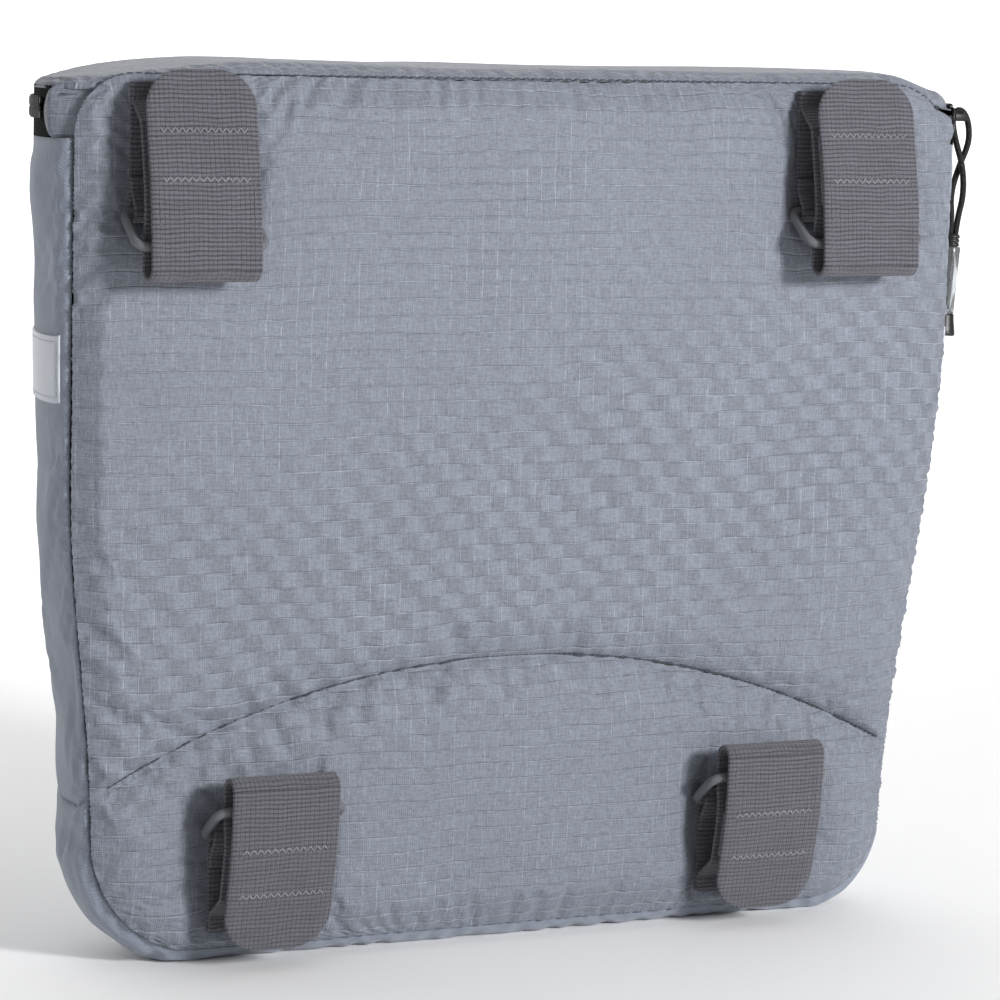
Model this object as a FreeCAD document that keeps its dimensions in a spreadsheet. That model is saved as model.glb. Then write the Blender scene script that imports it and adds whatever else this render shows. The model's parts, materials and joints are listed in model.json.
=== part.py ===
"""Pannier bag: soft box bag with a zipped lid and four hook-and-loop rack straps.

Millimetres. +Z is up, the back panel that faces the rack looks along -Y and the bag
stands on Z = 0. The origin is midway between the sides, below the back seam.
"""
import FreeCAD, Part
import math
import os

import Sketcher
from FreeCAD import Placement, Rotation, Vector

PART_COUNT = 53

doc = FreeCAD.newDocument("pannier_bag")

# ---------------------------------------------------------------- driving dimensions
DIMENSIONS = {
    # back panel, measured on its seam
    "panel_top_width": 329,
    "panel_bottom_width": 304,
    "panel_height": 288,
    "lean": 4.5,
    "seam_lift": 5,
    "panel_corner": 35,
    "panel_top_corner": 14,
    "panel_face": 3,
    "arc_end_height": 53.5,
    "arc_rise": 40,
    # layers of the back panel
    "skin": 1,
    "foam": 4.5,
    "stiffener": 1.5,
    "lining": 0.8,
    "binding_width": 8,
    "foam_inset": 3.5,
    "stiffener_inset": 9,
    # fabric that wraps round the sides and the front
    "wrap_radius": 52,
    "wrap_centre_y": 14,
    "wrap_bulge": 4.5,
    "wrap_wall": 2,
    "wrap_taper": 15.2,
    "wrap_front_taper": 0.12,
    "base_radius": 22,
    "base_flat_from": -1,
    "body_top": 272,
    "front_seam_angle": 62,
    "side_seam_height": 58,
    # lid and zip
    "lid_bottom": 292,
    "lid_thickness": 3.5,
    "lid_back": 2.2,
    "lid_lip": 0.6,
    "tape": 0.8,
    "coil": 1.9,
    "coil_width": 3.1,
    "coil_gap": 1,
    "zip_height": 281.5,
    "zip_right_end": 7,
    "zip_left_end": 12,
    "zip_end_margin": 0.4,
    "tape_under_coil": 1.5,
    "stop_height": 1.8,
    "stop_length": 0.9,
    "slider_length": 11,
    "slider_width": 10,
    "slider_plate": 1.5,
    "slider_inner_gap": 1.3,
    "slider_outer_gap": 0.3,
    "slider_neck": 2.5,
    "bridge_reach": 7.6,
    "bridge_radius": 1,
    "bridge_leg": 1.6,
    "bridge_half": 4,
    # puller
    "cord": 2.2,
    "ferrule_radius": 2.9,
    "tube_radius": 3.5,
    "tube_bore": 2.7,
    "tube_length": 24,
    "ferrule_length": 4.5,
    "tube_hang": 70,
    "tube_shift": 3.2,
    "cap_length": 8,
    "cap_flare": 1.1,
    "puller_lean": 4.4,
    # rack straps
    "webbing_width": 38,
    "webbing": 1.6,
    "top_strap_x": 123,
    "top_strap_fold": 232.8,
    "top_strap_length": 62,
    "top_tip_standoff": 12.5,
    "bottom_strap_x": 92,
    "bottom_strap_fold": 61,
    "bottom_strap_length": 53.5,
    "bottom_tip_standoff": 13.5,
    "sewn_margin": 4.5,
    "fold_radius": 4,
    "fold_standoff": 21.7,
    "ring_bar": 1.65,
    "ring_width": 44,
    "ring_corner": 4,
    "ring_near": 16.4,
    "ring_far": 6,
    # reflective patches
    "patch_low": 187,
    "patch_height": 22.5,
    "patch_from": 2,
    "patch_length": 44,
    "patch": 0.6,
}

sheet = doc.addObject("Spreadsheet::Sheet", "Dims")
for row, (alias, value) in enumerate(DIMENSIONS.items(), start=1):
    sheet.set(f"A{row}", alias)
    sheet.set(f"B{row}", str(value))
    sheet.setAlias(f"B{row}", alias)
doc.recompute()


def size(alias):
    """A driving dimension, read from the sheet."""
    return float(sheet.get(alias))


subparts = []


def keep(obj, label):
    """Name an object as one physical piece of the bag."""
    obj.Label = label
    subparts.append(obj)
    return obj


def keep_shape(shape, label):
    """Make a piece whose bent or lofted form is set from Part's own functions."""
    obj = doc.addObject("Part::Feature", label)
    obj.Shape = shape
    return keep(obj, label)


# ---------------------------------------------------------------- bound primitives
def bind(obj, **expressions):
    """Bind properties to expressions. x, y and z stand for the placement's base."""
    for name, expression in expressions.items():
        path = f"Placement.Base.{name}" if name in ("x", "y", "z") else name
        obj.setExpression(path, expression)
    return obj


def box(x, y, z, length, width, height):
    """Part::Box whose lowest corner and sizes are expressions."""
    obj = doc.addObject("Part::Box", "Box")
    return bind(obj, x=x, y=y, z=z, Length=length, Width=width, Height=height)


def rod(x, y, z, radius, height, turn=None):
    """Part::Cylinder along Z, or turned by a fixed rotation."""
    obj = doc.addObject("Part::Cylinder", "Rod")
    if turn is not None:
        obj.Placement = Placement(Vector(), turn)
    return bind(obj, x=x, y=y, z=z, Radius=radius, Height=height)


def fuse(*parts):
    obj = doc.addObject("Part::MultiFuse", "Fuse")
    obj.Shapes = list(parts)
    obj.Refine = True
    return obj


def cut(base, tool):
    obj = doc.addObject("Part::Cut", "Cut")
    obj.Base = base
    obj.Tool = tool
    return obj


def common(base, tool):
    obj = doc.addObject("Part::Common", "Common")
    obj.Base = base
    obj.Tool = tool
    return obj


# ---------------------------------------------------------------- panel-shaped plates
def plate(name, inset, front, thickness, top_drop="0"):
    """A PartDesign plate with the back panel's outline, inset on every side.

    front is the Y of the face nearer the rack. The sketch is the tapered outline, the
    corners are fillets of the pad.
    """
    body = doc.addObject("PartDesign::Body", name)
    sketch = body.newObject("Sketcher::SketchObject", name + "_outline")
    planes = body.Origin.OriginFeatures
    sketch.AttachmentSupport = [next(p for p in planes if p.Role == "XZ_Plane")]
    sketch.MapMode = "FlatFace"
    sketch.setExpression("AttachmentOffset.Base.z", f"-({front})")

    half_bottom = f"Dims.panel_bottom_width / 2 - ({inset})"
    half_top = f"Dims.panel_top_width / 2 - ({inset})"
    low = f"Dims.seam_lift + {inset}"
    high = f"Dims.seam_lift + Dims.panel_height - ({inset}) - ({top_drop})"
    start = [Vector(-150, 10, 0), Vector(150, 10, 0), Vector(165, 290, 0), Vector(-165, 290, 0)]
    reach = [
        f"-({half_bottom})", half_bottom, f"{half_top} + Dims.lean", f"-({half_top}) + Dims.lean"
    ]
    level = [low, low, high, high]
    for i in range(4):
        sketch.addGeometry(Part.LineSegment(start[i], start[(i + 1) % 4]), False)
    for i in range(4):
        sketch.addConstraint(Sketcher.Constraint("Coincident", i, 2, (i + 1) % 4, 1))
    for i in range(4):
        pin_start(sketch, "DistanceX", i, start[i].x, reach[i])
        pin_start(sketch, "DistanceY", i, start[i].y, level[i])
    doc.recompute()

    pad = body.newObject("PartDesign::Pad", name + "_pad")
    pad.Profile = sketch
    pad.Reversed = True
    pad.setExpression("Length", thickness)
    doc.recompute()
    bottom = round_corners(body, pad, name + "_corners", f"Dims.panel_corner - ({inset})", False)
    round_corners(body, bottom, name + "_top_corners", "Dims.panel_top_corner", True)
    return body


def pin_start(sketch, kind, line, value, expression):
    """Pin a line's start at a bound distance from the sketch's origin."""
    index = sketch.addConstraint(Sketcher.Constraint(kind, -1, 1, line, 1, value))
    sketch.setExpression(f"Constraints[{index}]", expression)


def round_corners(body, base, name, radius, upper):
    """Fillet the two upper or lower corner edges of a plate."""
    middle = base.Shape.BoundBox.Center.z
    edges = []
    for i, edge in enumerate(base.Shape.Edges, start=1):
        ends = [v.Point for v in edge.Vertexes]
        if len(ends) != 2 or abs(ends[0].x - ends[1].x) > 0.01 or abs(ends[0].z - ends[1].z) > 0.01:
            continue
        if (ends[0].z > middle) == upper:
            edges.append(f"Edge{i}")
    fillet = body.newObject("PartDesign::Fillet", name)
    fillet.Base = (base, edges)
    fillet.setExpression("Radius", radius)
    doc.recompute()
    return fillet


FACE = "-Dims.panel_face"
FOAM_BACK = "-Dims.panel_face + Dims.skin"
STIFFENER_BACK = FOAM_BACK + " + Dims.foam"
LINING_BACK = STIFFENER_BACK + " + Dims.stiffener"
BINDING_BACK = LINING_BACK + " + Dims.lining"


def back_panel():
    """The padded panel against the rack: two skins that meet on an arc, foam, board, lining."""
    chord = "(Dims.panel_bottom_width / 2)"
    arc_radius = f"(({chord}) * ({chord}) + Dims.arc_rise * Dims.arc_rise) / (2 * Dims.arc_rise)"
    arc_top = "Dims.seam_lift + Dims.arc_end_height + Dims.arc_rise"
    skin = plate("back_skin", "0", FACE, "Dims.skin")
    arc = rod(
        "0", "20", f"{arc_top} - ({arc_radius})", arc_radius, "40",
        Rotation(Vector(1, 0, 0), 90),
    )
    keep(common(skin, arc), "back_panel_lower")
    keep(cut(skin, arc), "back_panel_upper")
    keep(plate("foam", "Dims.foam_inset", FOAM_BACK, "Dims.foam"), "back_foam")
    keep(plate("board", "Dims.stiffener_inset", STIFFENER_BACK, "Dims.stiffener"), "back_stiffener")
    keep(plate("inner_cloth", "Dims.foam_inset", LINING_BACK, "Dims.lining"), "back_lining")
    rim = cut(
        plate("binding_rim", "Dims.foam_inset", BINDING_BACK, "Dims.webbing"),
        plate("binding_hole", "Dims.foam_inset + Dims.binding_width", BINDING_BACK, "Dims.webbing"),
    )
    keep(rim, "back_seam_binding")


# ---------------------------------------------------------------- wrapped body
def section(angle, offset):
    """One upright outline of the wrap, at an angle round its corner arc.

    At angle 90 the fabric faces straight forward. offset grows it outwards. The mouth lies
    a little to the right of the base, by the lean.
    """
    radius = size("wrap_radius") + offset
    y = size("wrap_centre_y") + radius * math.sin(math.radians(angle))
    centre_x = size("panel_top_width") / 2 + size("wrap_bulge") - size("wrap_radius")
    half = centre_x + radius * math.cos(math.radians(angle))
    bottom = half - size("wrap_taper") - size("wrap_front_taper") * y
    high = size("body_top")
    low = base_height(y) - offset
    corner = size("panel_corner") + offset

    def side_points(top):
        slope = math.atan2(top - bottom, high)
        side = Vector(math.sin(slope), 0, math.cos(slope))
        foot = Vector(bottom + low * math.tan(slope), y, low)
        run = corner * math.tan((math.pi / 2 - slope) / 2)
        floor_point = foot - Vector(run, 0, 0)
        centre = floor_point + Vector(0, 0, corner)
        middle = centre + (foot - centre).normalize() * corner
        return [floor_point, middle, foot + side * run, Vector(top, y, high)]

    points = side_points(half + size("lean"))
    mirrored = [Vector(-p.x, p.y, p.z) for p in side_points(half - size("lean"))]
    edges = [
        Part.makeLine(mirrored[0], points[0]),
        Part.Arc(points[0], points[1], points[2]).toShape(),
        Part.makeLine(points[2], points[3]),
        Part.makeLine(points[3], mirrored[3]),
        Part.makeLine(mirrored[3], mirrored[2]),
        Part.Arc(mirrored[2], mirrored[1], mirrored[0]).toShape(),
    ]
    return Part.Wire(edges)


FLOOR_TRIM = 0.05


def base_height(y):
    """Height of the fabric under the bag: up at the back seam, flat, up to the front.

    The flat lies a little low, and is trimmed to a true plane on the floor.
    """
    flat_from = size("base_flat_from")
    front = size("wrap_centre_y") + size("wrap_radius")
    curve_from = front - size("base_radius")
    back = -size("panel_face") + size("skin")
    if y < flat_from:
        return size("seam_lift") * (flat_from - y) / (flat_from - back) - FLOOR_TRIM
    if y > curve_from:
        reach = min(y - curve_from, size("base_radius"))
        return size("base_radius") - math.sqrt(size("base_radius") ** 2 - reach ** 2) - FLOOR_TRIM
    return -FLOOR_TRIM


def wrap_solid(offset, last_angle=90.0):
    """Closed solid inside the wrap surface that is offset outwards by this much."""
    radius = size("wrap_radius") + offset

    def angle_at(y):
        return math.degrees(math.asin((y - size("wrap_centre_y")) / radius))

    first = angle_at(-size("panel_face") + size("skin"))
    flat = angle_at(size("base_flat_from"))
    steps = 14
    angles = [first] + [flat + (last_angle - flat) * i / steps for i in range(steps + 1)]
    return Part.makeLoft([section(angle, offset) for angle in angles], True, True)


def slab(x_range, y_range, z_range):
    """Plain box between two corners, used to divide the wrap into its panels."""
    low = Vector(x_range[0], y_range[0], z_range[0])
    return Part.makeBox(
        x_range[1] - x_range[0], y_range[1] - y_range[0], z_range[1] - z_range[0], low
    )


def wrapped_body():
    """Side, bottom and front panels, their lining, bindings and reflective patches."""
    wide = 400
    top = size("body_top")
    seam_y = size("wrap_centre_y") + size("wrap_radius") * math.sin(
        math.radians(size("front_seam_angle"))
    )
    wall = size("wrap_wall")
    lining_inside = wall + size("lining")
    inner = wrap_solid(-wall)
    shell = wrap_solid(0).cut(inner).cut(slab((-wide, wide), (-50, wide), (-50, 0)))
    side_low = size("side_seam_height")
    front = slab((-wide, wide), (seam_y, wide), (-50, top))
    behind = (-50, seam_y)
    keep_shape(shell.common(front), "front_panel")
    keep_shape(shell.common(slab((-wide, 0), behind, (side_low, top))), "left_gusset")
    keep_shape(shell.common(slab((0, wide), behind, (side_low, top))), "right_gusset")
    keep_shape(shell.common(slab((-wide, wide), behind, (-50, side_low))), "bottom_gusset")

    behind_panel = slab((-wide, wide), (size("panel_face") + size("foam"), wide), (-50, top))
    lining = inner.cut(wrap_solid(-lining_inside))
    keep_shape(lining.common(behind_panel), "body_lining")

    binding_width = 3
    binding_depth = 13
    band = slab((-wide, wide), (seam_y - binding_width, seam_y), (-50, top - 1))
    window = Part.Face(section(size("front_seam_angle"), -lining_inside - binding_depth))
    window = window.extrude(Vector(0, wide, 0))
    flange = wrap_solid(-lining_inside).common(band).cut(window)
    keep_shape(flange, "front_seam_binding")

    patch = wrap_solid(size("patch")).cut(wrap_solid(0))
    span = (size("patch_from"), size("patch_length"))
    rise = (size("patch_low"), size("patch_low") + size("patch_height"))
    keep_shape(patch.common(slab((-wide, 0), span, rise)), "left_reflector")
    keep_shape(patch.common(slab((0, wide), span, rise)), "right_reflector")


# ---------------------------------------------------------------- lid and zip
WRAP_X = "(Dims.panel_top_width / 2 + Dims.wrap_bulge - Dims.wrap_radius)"


def d_form(offset, low, height, back):
    """Upright slab with the plan of the bag's mouth: two round corners and a flat front."""
    radius = f"(Dims.wrap_radius + {offset})"
    corners = [
        rod(f"Dims.lean {sign} {WRAP_X}", "Dims.wrap_centre_y", low, radius, height)
        for sign in "-+"
    ]
    middle = box(
        f"Dims.lean - {WRAP_X}", f"Dims.wrap_centre_y - {radius}", low,
        f"2 * {WRAP_X}", f"2 * {radius}", height,
    )
    keep_front = box("-300", back, low, "600", "300", height)
    return common(fuse(middle, *corners), keep_front)


def zip_band(outer, inner, low, height, right_end, left_end):
    """A band that follows the zip round the mouth, between two ends."""
    ring = cut(
        d_form(outer, low, height, FOAM_BACK),
        d_form(inner, low, height, FOAM_BACK),
    )
    right = box("0", right_end, low, "300", "300", height)
    left = box("-300", left_end, low, "300", "300", height)
    return common(ring, fuse(right, left))


def end_piece(sign, end):
    """Fabric that closes the corner between the back seam and one end of the zip."""
    height = "Dims.lid_bottom - 0.2 - Dims.body_top"
    ring = cut(
        d_form("0", "Dims.body_top", height, FOAM_BACK),
        d_form("(-Dims.skin)", "Dims.body_top", height, FOAM_BACK),
    )
    x = "0" if sign > 0 else "-300"
    zone = box(x, FOAM_BACK, "Dims.body_top", "300", f"{end} - ({FOAM_BACK})", height)
    return common(ring, zone)


def stop_pair(low):
    """The small metal stops at both ends of one half of the zip."""
    height, length = "Dims.stop_height", "Dims.stop_length"
    ring = cut(
        d_form("Dims.coil", low, height, FOAM_BACK),
        d_form("0", low, height, FOAM_BACK),
    )
    right = box("0", "Dims.zip_right_end + Dims.zip_end_margin", low, "300", length, height)
    left = box("-300", "Dims.zip_left_end + Dims.zip_end_margin", low, "300", length, height)
    return common(ring, fuse(right, left))


def lid_and_zip():
    """The lid with its half of the zip, and the half that stays on the body."""
    lip = "Dims.lid_lip"
    keep(d_form(lip, "Dims.lid_bottom", "Dims.lid_thickness", "Dims.lid_back"), "lid_panel")
    keep(
        d_form("(-Dims.tape - 0.4)", "Dims.lid_bottom - 1.5", "1.5", "Dims.lid_back"),
        "lid_lining",
    )
    gap = "Dims.coil_gap / 2"
    tape_low = f"Dims.zip_height + {gap} + Dims.tape_under_coil"
    tape_high = f"Dims.zip_height - {gap} - Dims.tape_under_coil"
    right = "Dims.zip_right_end + Dims.zip_end_margin"
    left = "Dims.zip_left_end + Dims.zip_end_margin"
    coil_right = "Dims.wrap_centre_y - Dims.slider_length / 2 + 3"
    coil_left = "Dims.zip_left_end + 1.6"
    keep(
        zip_band("0", "(-Dims.tape)", tape_low, f"Dims.lid_bottom - ({tape_low})", right, left),
        "zip_upper_tape",
    )
    keep(
        zip_band(
            "0", "(-Dims.tape)", "Dims.body_top", f"{tape_high} - Dims.body_top", right, left
        ),
        "zip_lower_tape",
    )
    upper = f"Dims.zip_height + {gap}"
    lower = f"Dims.zip_height - {gap} - Dims.coil_width"
    for label, low in (("zip_upper_coil", upper), ("zip_lower_coil", lower)):
        keep(zip_band("Dims.coil", "0", low, "Dims.coil_width", coil_right, coil_left), label)
    keep(stop_pair(upper + " + 0.9"), "zip_upper_stops")
    keep(stop_pair(lower + " + 0.4"), "zip_lower_stops")
    keep(end_piece(-1, "Dims.zip_left_end"), "left_zip_end")
    keep(end_piece(1, "Dims.zip_right_end"), "right_zip_end")


SLIDER_X = "(Dims.lean + Dims.panel_top_width / 2 + Dims.wrap_bulge)"
BRIDGE_X = SLIDER_X + " + Dims.bridge_reach"


def zip_slider():
    """Slider: a plate each side of the coil, the neck between the coils and a round bridge."""
    back = "Dims.wrap_centre_y - Dims.slider_length / 2"
    low = "Dims.zip_height - Dims.slider_width / 2"
    size_y, size_z = "Dims.slider_length", "Dims.slider_width"
    inner_face = f"{SLIDER_X} - Dims.slider_inner_gap"
    inner_x = f"{inner_face} - Dims.slider_plate"
    outer_x = f"{SLIDER_X} + Dims.coil + Dims.slider_outer_gap"
    crown_x = f"{outer_x} + Dims.slider_plate"
    inner = box(inner_x, back, low, "Dims.slider_plate", size_y, size_z)
    outer = box(outer_x, back, low, "Dims.slider_plate", size_y, size_z)
    neck = box(
        inner_face, back, "Dims.zip_height - Dims.coil_gap / 2 + 0.1",
        f"{outer_x} - ({inner_face})", "Dims.slider_neck", "Dims.coil_gap - 0.2",
    )
    legs = [
        box(
            crown_x, f"Dims.wrap_centre_y {offset}", "Dims.zip_height - Dims.bridge_radius",
            f"{BRIDGE_X} - ({crown_x})", "Dims.bridge_leg", "2 * Dims.bridge_radius",
        )
        for offset in ("- Dims.bridge_half", "+ Dims.bridge_half - Dims.bridge_leg")
    ]
    bar = rod(
        BRIDGE_X, "Dims.wrap_centre_y + Dims.bridge_half", "Dims.zip_height",
        "Dims.bridge_radius", "2 * Dims.bridge_half", Rotation(Vector(1, 0, 0), 90),
    )
    keep(fuse(inner, outer, neck, bar, *legs), "zip_slider")


# ---------------------------------------------------------------- puller
# Route of the puller's cord, relative to the bridge bar's middle: up out of the end cap,
# through the ferrule, across its other strand, over the bar and back the same way.
CORD_ROUTE = [
    (-2.05, 0.0, -69.5),
    (-0.55, 0.0, -50.0),
    (1.0, 0.1, -36.5),
    (2.9, -0.6, -27.5),
    (1.3, -1.75, -17.5),
    (-1.2, -0.9, -9.5),
    (-2.5, 0.0, -2.9),
    (-2.5, 0.0, 1.443),
    (0.0, 0.0, 2.887),
    (2.5, 0.0, 1.443),
    (4.4, 0.0, -2.9),
    (5.2, 0.9, -9.5),
    (1.9, 1.75, -17.5),
    (-2.0, 0.6, -27.5),
    (-1.35, -0.1, -36.5),
    (-2.95, 0.0, -50.0),
    (-4.4, 0.0, -69.5),
]


def rounded_path(points):
    """Straight runs joined by tangent arcs, each as large as its two runs allow."""
    edges, radii = [], []
    last = points[0]
    for before, corner, after in zip(points, points[1:], points[2:]):
        back, ahead = before - corner, after - corner
        turn = math.pi - back.getAngle(ahead)
        trim = 0.45 * min(back.Length, ahead.Length)
        radius = trim / math.tan(turn / 2)
        first = corner + Vector(back).normalize() * trim
        second = corner + Vector(ahead).normalize() * trim
        inward = (Vector(back).normalize() + Vector(ahead).normalize()).normalize()
        middle = corner + inward * (radius / math.cos(turn / 2) - radius)
        edges.append(Part.makeLine(last, first))
        edges.append(Part.Arc(first, middle, second).toShape())
        radii.append(radius)
        last = second
    edges.append(Part.makeLine(last, points[-1]))
    return Part.Wire(edges), radii


def tube_along(points, diameter):
    """Round tube along a rounded path, checked against section times length."""
    path, radii = rounded_path(points)
    start = Part.Circle(points[0], points[1] - points[0], diameter / 2).toShape()
    tube = path.makePipeShell([Part.Wire([start])], True, True)
    wanted = math.pi * diameter ** 2 / 4 * path.Length
    if abs(tube.Volume - wanted) > 0.02 * wanted:
        raise RuntimeError(f"cord volume {tube.Volume:.1f} is not {wanted:.1f}")
    print(f"cord length {path.Length:.1f}, radii {[round(r, 1) for r in radii]}")
    return tube


def bridge_middle():
    """Middle of the slider's bridge bar, which the puller swings about."""
    mouth_x = size("lean") + size("panel_top_width") / 2 + size("wrap_bulge")
    return Vector(mouth_x + size("bridge_reach"), size("wrap_centre_y"), size("zip_height"))


def puller_pieces():
    """Doubled cord, ferrule, clear tube and flared end cap, hanging from the bridge."""
    bridge = bridge_middle()
    route = [bridge + Vector(*point) for point in CORD_ROUTE]
    keep_shape(tube_along(route, size("cord")), "puller_cord")

    lean = Rotation(Vector(0, 1, 0), size("puller_lean"))
    bottom = bridge - Vector(size("tube_shift"), 0, size("tube_hang"))

    tube_outer = rod("0", "0", "0", "Dims.tube_radius", "Dims.tube_length")
    tube_bore = rod("0", "0", "0", "Dims.tube_bore", "Dims.tube_length")
    ferrule_outer = rod("0", "0", "0", "Dims.ferrule_radius", "Dims.ferrule_length")
    ferrule_bore = rod("0", "0", "0", "Dims.tube_bore - 0.15", "Dims.ferrule_length")
    cap = doc.addObject("Part::Cone", "Cap")
    flare = "Dims.tube_radius + Dims.cap_flare"
    bind(cap, Radius1=flare, Radius2="Dims.tube_radius", Height="Dims.cap_length")
    tube = keep(cut(tube_outer, tube_bore), "puller_tube")
    ferrule = keep(cut(ferrule_outer, ferrule_bore), "puller_ferrule")
    keep(cap, "puller_end_cap")
    axis = lean.multVec(Vector(0, 0, 1))
    tube.Placement = Placement(bottom, lean)
    ferrule.Placement = Placement(bottom + axis * size("tube_length"), lean)
    cap.Placement = Placement(bottom - axis * size("cap_length"), lean)


# ---------------------------------------------------------------- rack straps
def ribbon(corners, radii, thickness, width):
    """A strip of webbing bent along corners in the YZ plane, centred on X = 0.

    radii gives the bend at each inner corner.
    """
    corners = [Vector(-width / 2, corner.y, corner.z) for corner in corners]
    sides = {1: [], -1: []}
    for side, edges in sides.items():
        last = None
        for i in range(1, len(corners) - 1):
            into = (corners[i] - corners[i - 1]).normalize()
            out = (corners[i + 1] - corners[i]).normalize()
            turn = into.getAngle(out)
            trim = radii[i - 1] * math.tan(turn / 2)
            shift_in = Vector(0, -into.z, into.y) * (side * thickness / 2)
            shift_out = Vector(0, -out.z, out.y) * (side * thickness / 2)
            first = corners[i] - into * trim + shift_in
            second = corners[i] + out * trim + shift_out
            inward = (out - into).normalize()
            centre = corners[i] + inward * (radii[i - 1] / math.cos(turn / 2))
            reach = (first - centre).Length
            start = corners[0] + shift_in if last is None else last
            if (first - start).Length > 1e-6:
                edges.append(Part.makeLine(start, first))
            edges.append(Part.Arc(first, centre - inward * reach, second).toShape())
            last = second
        along = (corners[-1] - corners[-2]).normalize()
        shift = Vector(0, -along.z, along.y) * (side * thickness / 2)
        edges.append(Part.makeLine(last, corners[-1] + shift))
    starts = [sides[s][0].Vertexes[0].Point for s in (1, -1)]
    ends = [sides[s][-1].Vertexes[-1].Point for s in (1, -1)]
    caps = [Part.makeLine(*starts), Part.makeLine(*ends)]
    outline = Part.Wire(Part.__sortEdges__(sides[1] + sides[-1] + caps))
    return Part.Face(outline).extrude(Vector(width, 0, 0))


class StrapPlan:
    """Where one rack strap lies. out is the stand-off from the panel, along the strap."""

    def __init__(self, x, fold, length, tip_standoff, up):
        self.x = x
        self.fold = fold
        self.length = length
        self.tip_standoff = tip_standoff
        self.up = up

    def point(self, out, along):
        """A point of the strap's middle plane, along being 0 at the fold's centre."""
        return Vector(0, -size("panel_face") - out, self.fold + self.up * along)

    def tail_out(self, along):
        """Stand-off of the outer strip's middle at a distance from the fold."""
        fall = size("fold_standoff") - self.tip_standoff
        return size("fold_standoff") - fall * along / self.length


def strap_base(plan):
    """Webbing sewn on the panel, folded round the ring's near bar."""
    half = size("webbing") / 2
    near = size("ring_near")
    bend = size("ring_bar") + 0.2 + half
    slack = 0.1
    corners = [
        plan.point(half, plan.length - size("sewn_margin")),
        plan.point(half, near - bend),
        plan.point(half + 2 * bend, near - bend),
        plan.point(half + 2 * bend, near + 1),
        plan.point(3 * half + slack, near + 7),
        plan.point(3 * half + slack, near + 11),
    ]
    return ribbon(corners, [bend, bend, 1.2, 3], 2 * half, size("webbing_width"))


def strap_webbing(plan):
    """Webbing from its sewn end, out past the rack tube, through the ring to the fold."""
    half = size("webbing") / 2
    fold = size("fold_radius")
    inner = size("fold_standoff") - 2 * fold
    patch_gap = 5.6
    hinge_gap = 0.3
    sewn_end = plan.length - size("sewn_margin")
    sewn = sewn_end - 6
    leave = sewn_end - 12.5
    corners = [
        plan.point(3 * half, sewn_end),
        plan.point(3 * half, sewn),
        plan.point(plan.tail_out(leave) - patch_gap, leave),
        plan.point(plan.tail_out(17) - patch_gap, 17),
        plan.point(inner, 8),
        plan.point(inner, -fold - hinge_gap),
        plan.point(size("fold_standoff"), -fold - hinge_gap),
        plan.point(size("fold_standoff"), -hinge_gap),
    ]
    radii = [2.2, 3, 20, 20, fold - 0.02, fold - 0.02]
    return ribbon(corners, radii, 2 * half, size("webbing_width"))


def strap_tail(plan):
    """Outer strip from the fold, where it is hinged at its outer face, to its free tip."""
    half = size("webbing") / 2
    start = plan.point(size("fold_standoff"), 0)
    tip = plan.point(plan.tip_standoff, plan.length)
    return straight_strip(start, tip, -half, half, size("webbing_width"))


def straight_strip(start, end, low, high, width):
    """Flat strip between two points, from low to high along its outward normal."""
    along = (end - start).normalize()
    normal = Vector(0, -abs(along.z), math.copysign(1, along.z) * along.y)
    start = start - Vector(width / 2, 0, 0)
    end = end - Vector(width / 2, 0, 0)
    corners = [start + normal * low, end + normal * low, end + normal * high, start + normal * high]
    return Part.Face(Part.makePolygon(corners + corners[:1])).extrude(Vector(width, 0, 0))


def strap_patches(plan):
    """Soft loop patch on the webbing and hook patch on the tail, facing each other."""
    half = size("webbing") / 2
    width = size("webbing_width") - 3
    low, high = 19, plan.length - size("sewn_margin") - 14.5
    tail = [plan.point(plan.tail_out(along), along) for along in (low, high)]
    webbing = [plan.point(plan.tail_out(along) - 5.6, along) for along in (low, high)]
    hook = straight_strip(tail[0], tail[1], -half - 1.7, -half, width)
    loop = straight_strip(webbing[0], webbing[1], half, half + 1.9, width)
    return hook, loop


def ring(plan, label):
    """Rounded rectangular ring of round bar that the strap is threaded through."""
    near = plan.point(size("ring_bar") + 0.2 + size("webbing"), size("ring_near"))
    far = plan.point(size("fold_standoff") - size("fold_radius"), size("ring_far"))
    depth = (far - near).Length
    bar, corner = "Dims.ring_bar", "Dims.ring_corner"
    half_x = "(Dims.ring_width / 2)"
    pieces = []
    for sign in (-1, 1):
        pieces.append(
            rod(f"{sign} * {half_x}", corner, "0", bar, f"{depth} - 2 * {corner}",
                Rotation(Vector(1, 0, 0), -90))
        )
    for y in ("0", str(depth)):
        pieces.append(
            rod(f"-{half_x} + {corner}", y, "0", bar, f"2 * ({half_x} - {corner})",
                Rotation(Vector(0, 1, 0), 90))
        )
    for sign_x, y, turn in ((1, corner, -90), (1, f"{depth} - {corner}", 0),
                            (-1, f"{depth} - {corner}", 90), (-1, corner, 180)):
        bend = doc.addObject("Part::Torus", "Bend")
        bend.Placement = Placement(Vector(), Rotation(Vector(0, 0, 1), turn))
        bend.Angle3 = 90
        bind(bend, x=f"{sign_x} * ({half_x} - {corner})", y=y, Radius1=corner, Radius2=bar)
        pieces.append(bend)
    loop = keep(fuse(*pieces), label)
    slope = math.atan2(far.z - near.z, far.y - near.y)
    turn = Rotation(Vector(1, 0, 0), math.degrees(slope))
    loop.Placement = Placement(near + Vector(plan.x, 0, 0), turn)


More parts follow.
